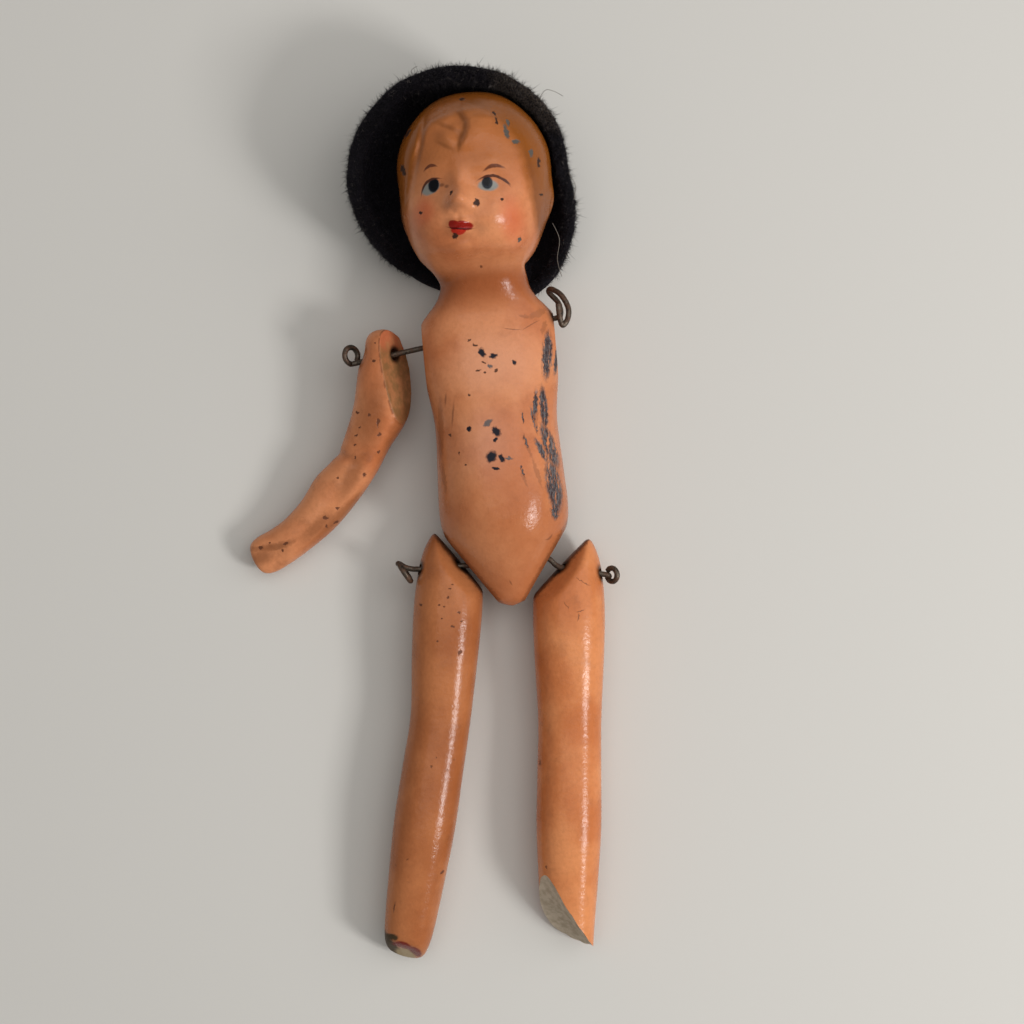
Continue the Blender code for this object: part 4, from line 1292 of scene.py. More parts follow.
        # A painted sheen on the chest and belly, partly paler paint round the chips there.
        art.touch(graph.marks(art.place, self.pale), self.pale_paint_and_sheen, 0.35)
        art.touch(graph.marks(art.chipped, self.scuffs) * front, self.scuff, 0.5)
        art.touch(scrape, slate, 0.95)
        art.dull(scrape, 0.12)
        art.height = art.height - scrape * 0.9
        art.knock(self.pale_blobs, front, self.grey, 0.6)
        art.touch(graph.marks(art.drawn, self.cracks) * front, self.crack, 0.6)
        art.knock(self.flecks, front, self.fleck, 0.6)
        art.knock(self.blobs, front, self.blue_black, 0.8)
        # Darker along both wire runs: painted shade in the wire holes, partly a stain from the wire.
        run = wires.shoulder(1.0) - wires.shoulder(0.0)
        grime = graph.rise(graph.line(art.place, wires.shoulder(0.0), run), 1.9, 0.6)
        hips = graph.rise(graph.line(art.place, wires.hip(0.0), np.array((1.0, 0, 0))), 1.9, 0.6)
        art.shade(grime | hips, self.grime, 0.8)


@dataclass
class WireRun:
    """The straight runs of the two wires, which the castings are drilled along."""

    shoulder_y: float = -1.45
    shoulder_z: float = 7.1
    shoulder_rise: float = 0.125
    shoulder_lift: float = 0.11
    shoulder_seat: float = 8.25
    hip_y: float = -29.15
    hip_z: float = 5.3

    def shoulder(self, x: float) -> Array:
        """The point of the shoulder wire's run at a distance across the body."""
        run = x + self.shoulder_seat
        height = self.shoulder_z + run * self.shoulder_lift
        return np.array((x, self.shoulder_y + run * self.shoulder_rise, height))

    def hip(self, x: float) -> Array:
        """The point of the hip wire's run at a distance across the body."""
        return np.array((x, self.hip_y, self.hip_z))


def limb_skin(rows: list, spacing: float, angle: Array, down: Array) -> Array:
    """A limb's surface over a ball's directions.

    Args:
        rows: Rows of x, y, z of the middle line, half width, depth up and depth down.
        spacing: Step along the rows over which the middle line's direction is taken.
        angle: Angle round the ball.
        down: Share of the way down from its top.

    Returns:
        One point of the doll's frame for each direction.
    """
    last = len(rows) - 1
    fine = np.linspace(0, last, LIMB_STEPS)
    table = smooth_rows(rows, fine)
    steps = np.linalg.norm(np.diff(table[:, :4], axis=0), axis=1)
    along = np.concatenate(([0.0], np.cumsum(steps)))
    at = np.interp(down, along / along[-1], fine)
    here = smooth_rows(rows, at)
    ahead = smooth_rows(rows, np.minimum(at + spacing, last))[:, :3]
    behind = smooth_rows(rows, np.maximum(at - spacing, 0))[:, :3]
    forward = unit(ahead - behind)
    side = unit(np.cross(forward, np.array((0.0, 0.0, 1.0))))
    up = np.cross(side, forward)
    half_width, depth_up, depth_down = np.maximum(here[:, 3:6], LIMB_THINNEST).T
    c, s = rounded(angle, LIMB_SQUARENESS)
    depth = np.where(s > 0, depth_up, depth_down)
    c = np.where(at_pole(down), 0.0, c)
    s = np.where(at_pole(down), 0.0, s)
    return here[:, :3] + side * (c * half_width)[:, None] + up * (s * depth)[:, None]


@dataclass
class RightArm:
    """The bent right arm, flat where it faces the shoulder."""

    gap: float = 3.7
    half_width: float = 3.2
    half_depth: float = 3.1
    wrist: float = 2.5
    seat_normal: tuple = (0.875, 0.03, 0.48)
    swell: tuple = (-23.4, -16.45, 0.0)
    swell_height: float = 0.7
    crease: tuple = (-20.5, -13.4, 0.0)
    crease_depth: float = 0.34
    hollow_palm: float = 0.55
    segments: int = 84
    rings: int = 170
    spacing: float = 0.45
    bore_out: float = 9.6
    bore_in: float = 1.8
    voxel: float = 0.12
    wear: int = 3
    sharp: float = 60.0
    brown: Colour = srgb(126, 92, 56)
    reddish: Colour = srgb(176, 96, 62)
    # Painted shade and stain in the wire hole.
    bore_stain_and_shade: Colour = srgb(46, 34, 28)
    # Dirt and painted shade down the arm.
    soil_and_shade_colour: Colour = srgb(120, 70, 40)
    pit_colour: Colour = srgb(104, 60, 38)

    # Offsets of the middle line from the pivot, and shares of the half width and half depth.
    upper = (
        (-1.05, 3.25, 0.35, 0.02, 0.02),
        (-1.10, 2.90, 0.35, 0.42, 0.42),
        (-1.15, 2.10, 0.30, 0.73, 0.72),
        (-0.95, 0.60, 0.15, 0.90, 0.92),
        (-1.05, -2.10, -0.40, 1.17, 1.04),
        (-2.40, -6.70, -1.20, 1.10, 1.00),
        (-4.25, -10.0, -1.90, 0.93, 0.95),
        (-6.05, -13.1, -2.50, 0.86, 0.90),
    )
    forearm = (
        (-8.75, -16.4, -3.10, 1.08, 1.08),
        (-11.65, -19.2, -3.60, 1.08, 1.04),
        (-14.65, -21.5, -4.05, 1.00, 0.97),
        (-17.05, -22.9, -4.40, 1.00, 0.92),
        (-18.815, -23.70, -4.52, 1.00, 0.84),
        (-20.065, -24.20, -4.64, 0.76, 0.64),
        (-20.565, -24.40, -4.70, 0.02, 0.02),
    )
    # Darker patches down the arm: dirt, and painted shade on its lower side.
    soil_and_shade = (
        Mark(-15.6, -10.0, 4.2, 1.5, 72, 0, 0.7),
        Mark(-18.6, -16.6, 3.4, 0.9, 58, 0, 0.7),
        Mark(-23.6, -22.6, 2.6, 0.8, 38, 0, 0.7),
        Mark(-29.6, -24.75, 2.5, 0.36, 6, 0.6, 0.7),
        Mark(-31.2, -25.9, 1.5, 0.9, 12, 0, 0.7),
        Mark(-12.9, -12.6, 4.6, 0.9, 62, 0, 0.7),
        Mark(-20.6, -21.4, 5.2, 0.7, 38, 0, 0.7),
    )
    pits = (
        Mark(-17.21, -8.79, 0.20, 0.16),
        Mark(-15.67, -9.35, 0.22, 0.18),
        Mark(-14.71, -10.37, 0.54, 0.16, 75),
        Mark(-14.69, -11.81, 0.34, 0.20, 25),
        Mark(-17.12, -10.70, 0.18, 0.13),
        Mark(-17.58, -11.68, 0.22, 0.16, 55),
        Mark(-17.84, -12.82, 0.20, 0.13),
        Mark(-17.09, -16.69, 0.36, 0.20, 65),
        Mark(-20.45, -16.73, 0.20, 0.16),
        Mark(-20.92, -20.53, 0.23, 0.18),
        Mark(-22.50, -21.63, 0.36, 0.20),
        Mark(-22.57, -22.65, 0.23, 0.18, 55),
        Mark(-21.40, -22.30, 0.34, 0.16, 35),
        Mark(-27.92, -24.41, 0.27, 0.20, 15),
        Mark(-28.45, -25.21, 0.20, 0.16),
        Mark(-30.00, -24.12, 0.18, 0.14),
        Mark(-31.30, -24.67, 0.32, 0.23, 15),
        Mark(-14.16, -0.50, 0.16, 0.13),
        Mark(-14.46, -2.71, 0.16, 0.13),
        Mark(-18.00, -14.38, 0.20, 0.13, 75),
        Mark(-15.06, -13.95, 0.22, 0.16),
    )

    def pivot(self, wires: WireRun) -> Array:
        """Where the arm's inner face meets the shoulder wire."""
        return wires.shoulder(-wires.shoulder_seat - self.gap)

    def rows(self, wires: WireRun) -> list:
        """The arm's middle line from the shoulder to the finger tips, with its half sizes."""
        pivot = self.pivot(wires)
        rows = []
        for table, width, depth in (
            (self.upper, self.half_width, self.half_depth),
            (self.forearm, self.wrist, self.wrist * 0.97),
        ):
            for dx, dy, dz, wide, deep in table:
                middle = pivot + np.array((dx, dy, dz))
                rows.append((*middle, width * wide, depth * deep, depth * deep))
        return rows

    def elbow(self, points: Array) -> Array:
        """How far each point moves for the elbow's crease and the swell of the forearm.

        Args:
            points: Points of the plain arm.

        Returns:
            One step for each point.
        """
        across = np.array((-0.67, 0.74, 0.0))
        along = np.array((-0.74, -0.67, 0.0))
        swell = points - np.array(self.swell)
        hump = bell(swell @ along / 1.8) * bell(swell @ across / 1.6)
        crease = points - np.array(self.crease)
        slant = crease @ along - 0.25 * (crease @ across)
        groove = bell(slant / 0.45) * ease(crease @ across, -4.2, -0.6)
        groove = groove * ease(points[:, 2], 2.2, 4.2)
        inward = across * -0.6 + np.array((0.0, 0.0, -0.8))
        swollen = self.swell_height * hump[:, None] * across
        return swollen + self.crease_depth * groove[:, None] * inward

    def build(self, wires: WireRun) -> Piece:
        """Moulds the arm, cuts its seat and drills it for the wire."""
        piece = Bench.ball("painted_right_arm", self.segments, self.rings)
        points = limb_skin(self.rows(wires), self.spacing, *Bench.directions(piece))
        palm = ease(-points[:, 0], 27.2, 29.5) * ease(-points[:, 1], 23.6, 25.4)
        points[:, 2] -= self.hollow_palm * palm * ease(points[:, 2], 2.5, 4.5)
        Bench.mould(piece, points + self.elbow(points))
        pivot = self.pivot(wires)
        Bench.slice_flat(piece, pivot, Vector(self.seat_normal).normalized())
        outside = wires.shoulder(pivot[0] - self.bore_out)
        Bench.drill(piece, outside, wires.shoulder(pivot[0] + self.bore_in), BORE_RADIUS)
        Bench.even_out(piece, self.voxel, self.wear)
        Bench.smooth_shade(piece, self.sharp)
        return piece

    def dress(self, piece: Piece, wires: WireRun) -> None:
        """Paints the arm: dirty seat, pits, and painted shade in its wire hole and on its lower side.
        """
        art = Painting("flesh_paint_right_arm", FleshPaint(), speckles=0.75, grubby=0.5)
        graph = art.graph
        pivot = self.pivot(wires)
        beyond = graph.beyond(art.place, pivot, np.array(self.seat_normal))
        seat = graph.rise(beyond, -0.16, -0.07)
        stained = graph.rise(graph.noise(art.place, 0.8, 5.0), 0.34, 0.62)
        _, y, z = graph.parts(art.place)
        reddish = graph.rise(y + stained * 1.2, -1.2, 0.8)
        soiled = graph.mix(reddish, self.brown, self.reddish)
        art.touch(seat * (0.5 + stained * 0.4), soiled)
        art.dull(seat, 0.25)
        rim = graph.rise(beyond, -0.34, -0.16) * graph.rise(beyond, -0.04, -0.12)
        patchy = graph.rise(graph.noise(art.place, 1.1, 3.0), 0.40, 0.55)
        art.touch(rim * patchy, art.paint.dirt, 0.7)
        # Dark in and round the wire hole: painted shade in the hole, partly a stain from the wire.
        run = wires.shoulder(1.0) - wires.shoulder(0.0)
        away = graph.line(art.place, pivot, run)
        art.shade(graph.rise(away, 1.45, 0.75), self.bore_stain_and_shade, 0.95)
        # Darker patches down the arm: dirt, and painted shade on its lower side.
        art.touch(graph.marks(art.chipped, self.soil_and_shade), self.soil_and_shade_colour, 0.6)
        art.knock(self.pits, graph.rise(z, 2.2, 3.2), self.pit_colour, 0.6)
        piece.data.materials.append(art.finish())
        Bench.deliver(piece, "right_arm", "bisque", "right_arm")


@dataclass
class Leg:
    """A leg cut flat where it faces the hip, and broken off at the ankle."""

    side: Side
    mouth_gap: float
    offset: float
    drop: float
    slim: float
    lean: float
    shin_lean: float
    wire_dip: float
    end: float
    break_at: tuple
    break_normal: tuple
    paint: FleshPaint
    speckles: float
    pit_colour: Colour
    pits: tuple
    thigh_half_width: float = 4.6
    thigh_half_depth: float = 4.25
    knee_half_width: float = 4.05
    calf_half_width: float = 4.15
    calf_half_depth: float = 3.95
    ankle_half_width: float = 3.3
    ankle_half_depth: float = 3.05
    knee: float = 19.5
    calf: float = 33.0
    ankle: float = 52.0
    seat_angle: float = math.radians(44.0)
    relief_angle: float = math.radians(36.0)
    relief_start: float = 0.2
    floor_gap: float = 0.05
    segments: int = 84
    rings: int = 190
    spacing: float = 0.385
    bore_in: float = 4.6
    bore_out: float = 13.8
    voxel: float = 0.145
    wear: int = 120
    break_roughness: float = 0.13
    break_hollow: float = 0.55
    break_twist: float = 0.13
    sharp: float = 48.0
    grubby: float = 0.26
    # Dirt on the seat, with painted shade at its edge.
    seat_dirt_and_shade: Colour = srgb(92, 55, 33)
    # Painted shade and stain in the wire hole.
    bore_stain_and_shade: Colour = srgb(50, 38, 30)

    def mouth(self, torso: HeadTorso, wires: WireRun) -> Array:
        """Where the hip wire enters the leg's slanting inner face."""
        x = torso.seat_x(wires.hip_y) + self.mouth_gap
        return wires.hip(self.side.value * x) - np.array((0, self.drop, 0))

    def wire_direction(self) -> Array:
        """The way that the hip wire runs through the leg, outwards."""
        dip = math.radians(self.wire_dip)
        return np.array((self.side.value * math.cos(dip), -math.sin(dip), 0.0))

    def direction(self, lean: float) -> Array:
        """Unit vector down a leg that leans out by an angle in degrees."""
        angle = math.radians(lean)
        return np.array((self.side.value * math.sin(angle), -math.cos(angle), 0.0))

    def middle(self, mouth: Array, down: float) -> Array:
        """A point of the leg's middle line at a distance down from its wire hole."""
        thigh = self.direction(self.lean)
        outward = np.array((-thigh[1], thigh[0], 0.0)) * self.side.value
        start = mouth + outward * self.offset
        shin = self.direction(self.shin_lean)
        point = start + thigh * min(down, self.knee) + shin * max(down - self.knee, 0.0)
        return np.array((point[0], point[1], 0.0))

    def rows(self, mouth: Array) -> list:
        """The leg's middle line with its half sizes, from the hip to where it ends."""
        shares = (
            (-5.2, 0.02, 0.02),
            (-4.7, 0.34, 0.32),
            (-3.3, 0.66, 0.65),
            (-0.9, 0.87, 0.87),
            (2.4, 0.97, 0.97),
            (6.5, 1.00, 1.00),
            (12.0, 0.96, 0.97),
        )
        sizes = [(d, w * self.thigh_half_width, h * self.thigh_half_depth) for d, w, h in shares]
        shin_width = (self.knee_half_width + self.calf_half_width) / 2
        sizes += [
            (self.knee, self.knee_half_width, self.calf_half_depth * 0.97),
            ((self.knee + self.calf) / 2, shin_width, self.calf_half_depth * 0.99),
            (self.calf, self.calf_half_width, self.calf_half_depth),
        ]
        for share, blend in ((0.36, 0.40), (0.66, 0.85)):
            width = self.calf_half_width + blend * (self.ankle_half_width - self.calf_half_width)
            depth = self.calf_half_depth + blend * (self.ankle_half_depth - self.calf_half_depth)
            sizes.append((self.calf + share * (self.ankle - self.calf), width, depth))
        for before, share in ((3.6, 0.92), (1.5, 0.68), (0.4, 0.34), (0.0, 0.02)):
            width = self.ankle_half_width * share
            sizes.append((self.end - before, width, self.ankle_half_depth * share))
        rows = []
        for down, half_width, half_depth in sizes:
            x, y, _ = self.middle(mouth, down)
            thinner = self.calf_half_depth - min(half_depth, self.calf_half_depth)
            low = self.floor_gap + thinner * 0.55
            rows.append((x, y, low + half_depth, half_width * self.slim, half_depth, half_depth))
        return rows

    def seat_normal(self) -> Array:
        """The way that the leg's inner flat faces."""
        lean = self.seat_angle - math.radians(self.lean)
        return np.array((-self.side.value * math.cos(lean), math.sin(lean), 0.0))

    def relief_normal(self) -> Array:
        """The way that the slope over the leg's inner flat faces."""
        up = np.array((0.0, 0.0, math.sin(self.relief_angle)))
        return self.seat_normal() * math.cos(self.relief_angle) + up

    def build(self, name: str, mouth: Array) -> Piece:
        """Moulds the leg, cuts its seat, drills it and breaks its foot off.

        Args:
            name: The piece's name.
            mouth: Where the hip wire enters the leg.

        Returns:
            The leg.
        """
        piece = Bench.ball(name, self.segments, self.rings)
        Bench.mould(piece, limb_skin(self.rows(mouth), self.spacing, *Bench.directions(piece)))
        Bench.slice_flat(piece, mouth, Vector(self.seat_normal()))
        above = mouth + np.array((0.0, 0.0, self.relief_start))
        Bench.slice_flat(piece, above, Vector(self.relief_normal()))
        normal = Vector(self.break_normal).normalized()
        if self.side is Side.RIGHT:
            Bench.slice_flat(piece, np.array(self.break_at), normal)
        Bench.even_out(piece, self.voxel, self.wear)
        wire = self.wire_direction()
        outside = mouth + wire * self.bore_out
        Bench.drill(piece, mouth - wire * self.bore_in, outside, BORE_RADIUS)
        piece.data.materials.append(self.finish(name, mouth))
        if self.side is Side.LEFT:
            form = (self.break_roughness, self.break_hollow, self.break_twist)
            bare = BareBisque().material("bare_bisque_left_leg")
            Bench.break_off(piece, np.array(self.break_at), normal, *form, bare)
        Bench.smooth_shade(piece, self.sharp)
        return piece

    def finish(self, name: str, mouth: Array) -> Material:
        """The leg's paint: dirty seat, pits, break rim, painted shade at the seat's edge and wire
        hole.
        """
        art = Painting(f"flesh_paint_{name}", self.paint, self.speckles, self.grubby)
        graph = art.graph
        past = graph.beyond(art.chipped, mouth, self.seat_normal())
        # Dark on the seat flat and near its edge: dirt, and painted shade in the joint to the torso.
        seat = graph.rise(past, -0.55, -0.15)
        art.touch(seat, self.seat_dirt_and_shade, 0.85)
        art.dull(seat, 0.25)
        # Dark in and round the wire hole: painted shade in the hole, partly a stain from the wire.
        away = graph.line(art.place, mouth, self.wire_direction())
        art.shade(graph.rise(away, 1.5, 0.7), self.bore_stain_and_shade, 0.9)
        _, _, z = graph.parts(art.place)
        art.knock(self.pits, graph.rise(z, 3.0, 4.2), self.pit_colour, 0.5)
        if self.side is Side.RIGHT:
            self.stump(art)
        return art.finish()

    @staticmethod
    def stump(art: Painting) -> None:
        """Paints the red-brown shoe line and the chip at the end of the right leg."""
        graph = art.graph
        band = (
            Mark(-17.45, -76.15, 1.25, 0.52, -22, -0.5),
            Mark(-16.00, -77.25, 1.05, 0.55, -55, -0.5),
        )
        chips = (
            Mark(-19.10, -76.40, 2.20, 0.80, -65),
            Mark(-18.80, -75.00, 0.80, 0.42, -5),
        )
        core = (Mark(-17.40, -77.80, 1.30, 1.00, -35),)
        art.chip(graph.marks(art.chipped, chips), srgb(68, 52, 32))
        art.chip(graph.marks(art.chipped, core), srgb(168, 148, 116))
        art.touch(graph.marks(art.drawn, band), srgb(106, 6, 0), 0.95)

    def dress(self, piece: Piece, body: str) -> None:
        """Sends the leg to its body."""
        Bench.deliver(piece, body, "bisque", body)


@dataclass
class Wire:
    """A soft iron wire bent to a route."""

    name: str
    body: str
    route: list
    steps: int = 14
    sharp: float = 50.0

    def build(self) -> Piece:
        """Bends the wire along a smooth line through its route.

        Returns:
            The wire as a closed tube.
        """
        last = len(self.route) - 1
        line = smooth_rows(self.route, np.linspace(0, last, self.steps * last + 1))
        piece = Bench.tubes(f"iron_{self.name}", [line], WIRE_RADIUS, 4)
        Bench.smooth_shade(piece, self.sharp)
        return piece

    def dress(self, piece: Piece, finish: Material) -> None:
        """Gives the wire its finish."""
        piece.data.materials.clear()
        piece.data.materials.append(finish)
        Bench.deliver(piece, self.body, "wire", self.name)


def eye(
    centre: Array, radius: float, first: tuple, second: tuple, arc: tuple, steps: int
) -> list:
    """Points round a bent eye.

    Args:
        centre: The eye's middle.
        radius: The eye's radius.
        first: The direction of angle 0.
        second: The direction of a quarter turn.
        arc: The first and last angle, in degrees.
        steps: How many steps the arc has.

    Returns:
        The points, from the first angle to the last.
    """
    angles = np.radians(np.linspace(arc[0], arc[1], steps + 1))
    a = np.array(first, float)
    b = np.array(second, float)
    return [centre + (a * math.cos(t) + b * math.sin(t)) * radius for t in angles]


def shoulder_route(wires: WireRun, arm: RightArm) -> list:
    """The shoulder wire: an eye outside the arm, a straight run and a crushed eye."""
    pivot = arm.pivot(wires)
    radius = 1.05
    reach = 5.5
    centre = wires.shoulder(pivot[0] - reach) + np.array((0, radius, 0))
    route = eye(centre, radius, (0.72, 0, -0.69), (0, 1, 0), (-395, -90), 11)
    route.append(wires.shoulder(pivot[0] - reach + radius))
    seat = wires.shoulder_seat
    route += [wires.shoulder(-seat), wires.shoulder(0), wires.shoulder(seat)]
    crushed = (
        (0.75, 0.10, 0.05),
        (1.00, 0.95, -0.70),
        (0.75, 2.15, -1.30),
        (-0.20, 3.45, -1.60),
        (0.05, 3.75, -0.55),
        (1.15, 2.85, 0.35),
        (1.90, 1.20, 0.70),
        (1.75, -0.20, 0.90),
        (1.05, -1.00, 1.00),
        (0.75, 0.00, 1.45),
        (0.70, 1.60, 1.55),
    )
    return route + [wires.shoulder(seat) + np.array(offset) for offset in crushed]


def hip_route(wires: WireRun, torso: HeadTorso, right: Leg, left: Leg) -> list:
    """The hip wire: straight through the right leg and torso, kinked into the left leg."""
    standoff = 0.55
    mouth = right.mouth(torso, wires)
    out = mouth[0] - right.offset - 0.88 * right.thigh_half_width - standoff
    centre = np.array((out - 1.25, wires.hip_y - 0.2, wires.hip_z))
    route = eye(centre, 1.3, (0.48, -0.877, 0), (0, 0, 1), (-130, 180), 11)
    route.append(np.array((out, wires.hip_y + 0.1, wires.hip_z - 0.1)))
    route += [mouth, wires.hip(0.0)]
    seat = torso.seat_x(wires.hip_y)
    route += [wires.hip(seat - 1.8), wires.hip(seat - 0.1)]
    mouth = left.mouth(torso, wires)
    outward = left.wire_direction()
    route.append(mouth - outward * 0.35 + np.array((0, 0.25, 0)))
    route.append(mouth + outward)
    end = mouth + outward * (left.offset + 0.92 * left.thigh_half_width + standoff)
    route.append(end)
    centre = end + outward * 0.75 + np.array((0, 0.1, 0.1))
    return route + eye(centre, 0.85, (0.72, 0, 0.69), (0, 1, 0), (205, 500), 9)


@dataclass
class FeltHat:
    """The felt hat: a deep bowl pressed flat under the head, low behind the neck."""

    # The shell, as a bowl pushed into a ball; shares are of the way down the ball.
    wall: float = 1.6
    radius: float = 14.0
    centre: tuple = (-2.0, 18.5)
    base_radius: float = 6.0
    rim_height: float = 14.0
    segments: int = 220
    rings: int = 150
    heart_z: float = 9.0
    squareness: float = 2.25
    flat: float = 0.22
    lip_start: float = 0.45
    lip_end: float = 0.55
    lip_span: float = 0.10
    # The fuzz: how many fibres, where they grow, how they lie, and what they keep clear of.
    fibres: int = 46000
    inside_weight: float = 0.25
    worn_weight: float = 3.0
    rim_weight: float = 1.6
    widths: tuple = (0.018, 0.040)
    scatter: float = 0.12
    rooted: float = 0.05
    lean: float = 0.75
    curl: float = 0.4
    shortest: float = 0.15
    longest: float = 1.1
    worn_extra: float = 0.7
    head_gap: float = 0.3
    floor_gap: float = 0.15
    slides: tuple = (0.0, 7.0, 14.0, 21.0, 28.0)
    thread_radius: float = 0.035

    # Twelve values round the rim, from the viewer's right: more radius, and share of the height.
    outline_extra = (-0.35, -0.1, -0.25, -0.45, -0.4, -0.35, -0.3, -0.85, -1.4, -0.6, 2.2, 1.7)
    rim_share = (0.86, 0.94, 0.99, 1.0, 0.97, 0.91, 0.85, 0.58, 0.17, 0.045, 0.13, 0.52)
    threads = (
        ((9.2, 12.6, 8.0), (9.9, 10.6, 7.4), (9.5, 8.4, 5.6), (9.9, 6.4, 3.6)),
        ((10.9, 13.6, 8.2), (11.2, 11.9, 7.6), (10.4, 10.3, 6.6), (10.7, 8.5, 5.2)),
        ((8.6, 27.4, 10.2), (9.6, 28.6, 10.8), (10.6, 28.5, 10.6), (11.8, 27.9, 10.0)),
        ((-6.0, 30.9, 11.6), (-6.6, 32.1, 12.2), (-5.8, 32.6, 12.4)),
        ((11.6, 18.0, 11.8), (12.3, 16.4, 11.4), (12.0, 14.9, 10.6)),
    )

    @staticmethod
    def around(table: tuple, turn: Array) -> Array:
        """A table's smooth value at shares of the way round the hat."""
        closed = [[v] for v in (table[-1], *table, table[0], table[1])]
        return smooth_rows(closed, 1 + np.mod(turn, 1.0) * len(table))[:, 0]

    def bowl(
        self, share: Array, base: float, reach: Array, low: float, top: Array
    ) -> tuple[Array, Array]:
        """One face of the shell: flat at its middle, then curved up to the rim.

        Args:
            share: Share of the way from the middle to the rim.
            base: Radius of the flat.
            reach: Radius at the rim.
            low: Height of the flat.
            top: Height of the rim.

        Returns:
            The radius and the height at each share.
        """
        climb = np.clip((share - self.flat) / (1 - self.flat), 0.0, 1.0) * math.pi / 2
        across, up = rounded(climb, self.squareness)
        radius = base * np.clip(share / self.flat, 0.0, 1.0) + (reach - base) * up
        return radius, low + (top - low) * (1 - across)

    def skin(self, angle: Array, down: Array) -> Array:
        """The shell over a ball's directions: outside below its middle, inside above.

        Args:
            angle: Angle round the ball.
            down: Share of the way down from its top.

        Returns:
            One point of the doll's frame for each direction.
        """
        turn = np.mod(angle, FULL_TURN) / FULL_TURN
        reach = self.radius + self.around(self.outline_extra, turn)
        rim = self.rim_height * self.around(self.rim_share, turn)
        half = self.wall / 2
        outer = np.clip((1.0 - down) / self.lip_start, 0.0, 1.0)
        inner = np.clip(down / self.lip_start, 0.0, 1.0)
        lip = np.clip((self.lip_end - down) / self.lip_span, 0.0, 1.0)
        out_top = np.maximum(rim - half, 0.12)
        out_r, out_z = self.bowl(outer, self.base_radius, reach, 0.0, out_top)
        in_top = np.maximum(rim - half, self.wall + 0.05)
        in_base = self.base_radius - 0.2
        in_r, in_z = self.bowl(inner, in_base, reach - self.wall, self.wall, in_top)
        swing = lip * math.pi
        lip_r = reach - half + half * np.cos(swing)
        lip_z = out_top + (in_top - out_top) * lip + half * np.sin(swing)
        on_lip = (down > self.lip_start) & (down < self.lip_end)
        outside = down >= self.lip_end
        r = np.where(on_lip, lip_r, np.where(outside, out_r, in_r))
        z = np.where(on_lip, lip_z, np.where(outside, out_z, in_z))
        x = self.centre[0] + r * np.cos(FULL_TURN * turn)
        y = self.centre[1] + r * np.sin(FULL_TURN * turn)
        return np.stack((x, y, z), axis=1)

    def build(self) -> Piece:
        """Pushes the top of a ball down into it to make the bowl, and lumps the felt."""
        piece = Bench.ball("wool_felt_hat", self.segments, self.rings)
        angle, down = Bench.directions(piece)
        points = self.skin(angle, down)
        outside = ease(down, 0.42, 0.50)
        soft = 0.16 * lumps(points, 3.4, 1.7) + 0.09 * lumps(points, 1.1, 6.1)
        away = unit(points - np.array((*self.centre, self.heart_z)))
        lift = ease(points[:, 2], 0.6, 2.5)
        points += away * (soft * outside * lift)[:, None]
        Bench.mould(piece, points)
        Bench.smooth_shade(piece, 180)
        return piece

    def dress(self, piece: Piece, felt: WoolFelt) -> None:
        """Gives the hat its felt."""
        piece.data.materials.append(felt.material("wool_felt", 0.0))
        Bench.deliver(piece, "hat", "felt", "felt_hat")

    def fibre_blank(self) -> tuple[Array, list]:
        """One fibre, modelled from a three-sided cone.

        Returns:
            Its points, from 0 to 1 along z, and its faces.
        """
        Bench.clear()
        bpy.ops.mesh.primitive_cone_add(vertices=3, radius1=1.0, depth=1.0, location=(0, 0, 0.5))
        blank = bpy.context.object
        bpy.ops.object.transform_apply(location=True, rotation=True, scale=True)
        points = Bench.points(blank)
        faces = [tuple(p.vertices) for p in blank.data.polygons]
        bpy.data.objects.remove(blank)
        return points, faces

    def nap(self, hat: Piece, body: Piece) -> Piece:
        """The fuzz on the felt: fibres scattered over its outside and its rim.

        Args:
            hat: The hat that they grow from.
            body: The head, which they keep clear of.

        Returns:
            The fibres as one piece.
        """
        dice = np.random.default_rng(SEED)
        faces = hat.data.polygons
        centres = np.array([face.center for face in faces]) / MM - DOLL_PLACE
        normals = np.array([face.normal for face in faces])
        areas = np.array([face.area for face in faces])
        from_middle = centres - np.array((*self.centre, 0.0))
        outward = np.sum(from_middle[:, :2] * normals[:, :2], axis=1) > 0
        high = ease(centres[:, 2], 1.0, 3.5)
        rim = ease(normals[:, 2], 0.1, 0.7) * ease(centres[:, 2], 3.0, 6.0)
        round_hat = np.degrees(np.arctan2(from_middle[:, 1], from_middle[:, 0]))
        worn = ease(round_hat, -10, 20) * ease(round_hat, 125, 95) * ease(centres[:, 2], 6.0, 9.0)
        inside = self.inside_weight + self.worn_weight * worn
        weight = areas * (np.where(outward, 1.0, inside) * high + self.rim_weight * rim)
        chosen = dice.choice(len(faces), self.fibres, p=weight / weight.sum())
        jitter = dice.normal(0.0, self.scatter, (self.fibres, 3))
        normal = normals[chosen]
        jitter -= normal * np.sum(jitter * normal, axis=1)[:, None]
        roots = centres[chosen] + jitter - normal * self.rooted
        toward = unit(normal + dice.normal(0.0, self.lean, (self.fibres, 3)))
        length = self.shortest + dice.gamma(2.0, 0.14, self.fibres)
        length = length + self.worn_extra * (worn * ~outward)[chosen]
        length = np.minimum(length, self.longest)
        width = dice.uniform(*self.widths, self.fibres)
        curl = dice.normal(0.0, self.curl, (self.fibres, 3)) * length[:, None]
        tips = roots + toward * length[:, None] + curl
        keep = tips[:, 2] > self.floor_gap
        near = np.flatnonzero(~outward[chosen] | (roots[:, 1] < 13.0))
        keep[near] &= self.clear_of(body, np.stack((roots, tips), axis=1)[near])
        first = unit(np.cross(toward, np.array((0.3, 0.5, 0.81))))
        second = np.cross(toward, first)
        blank, sides = self.fibre_blank()
        wide, deep, along = blank.T[:, None, :, None]
        reach = toward[:, None] * length[:, None, None] + curl[:, None] * along
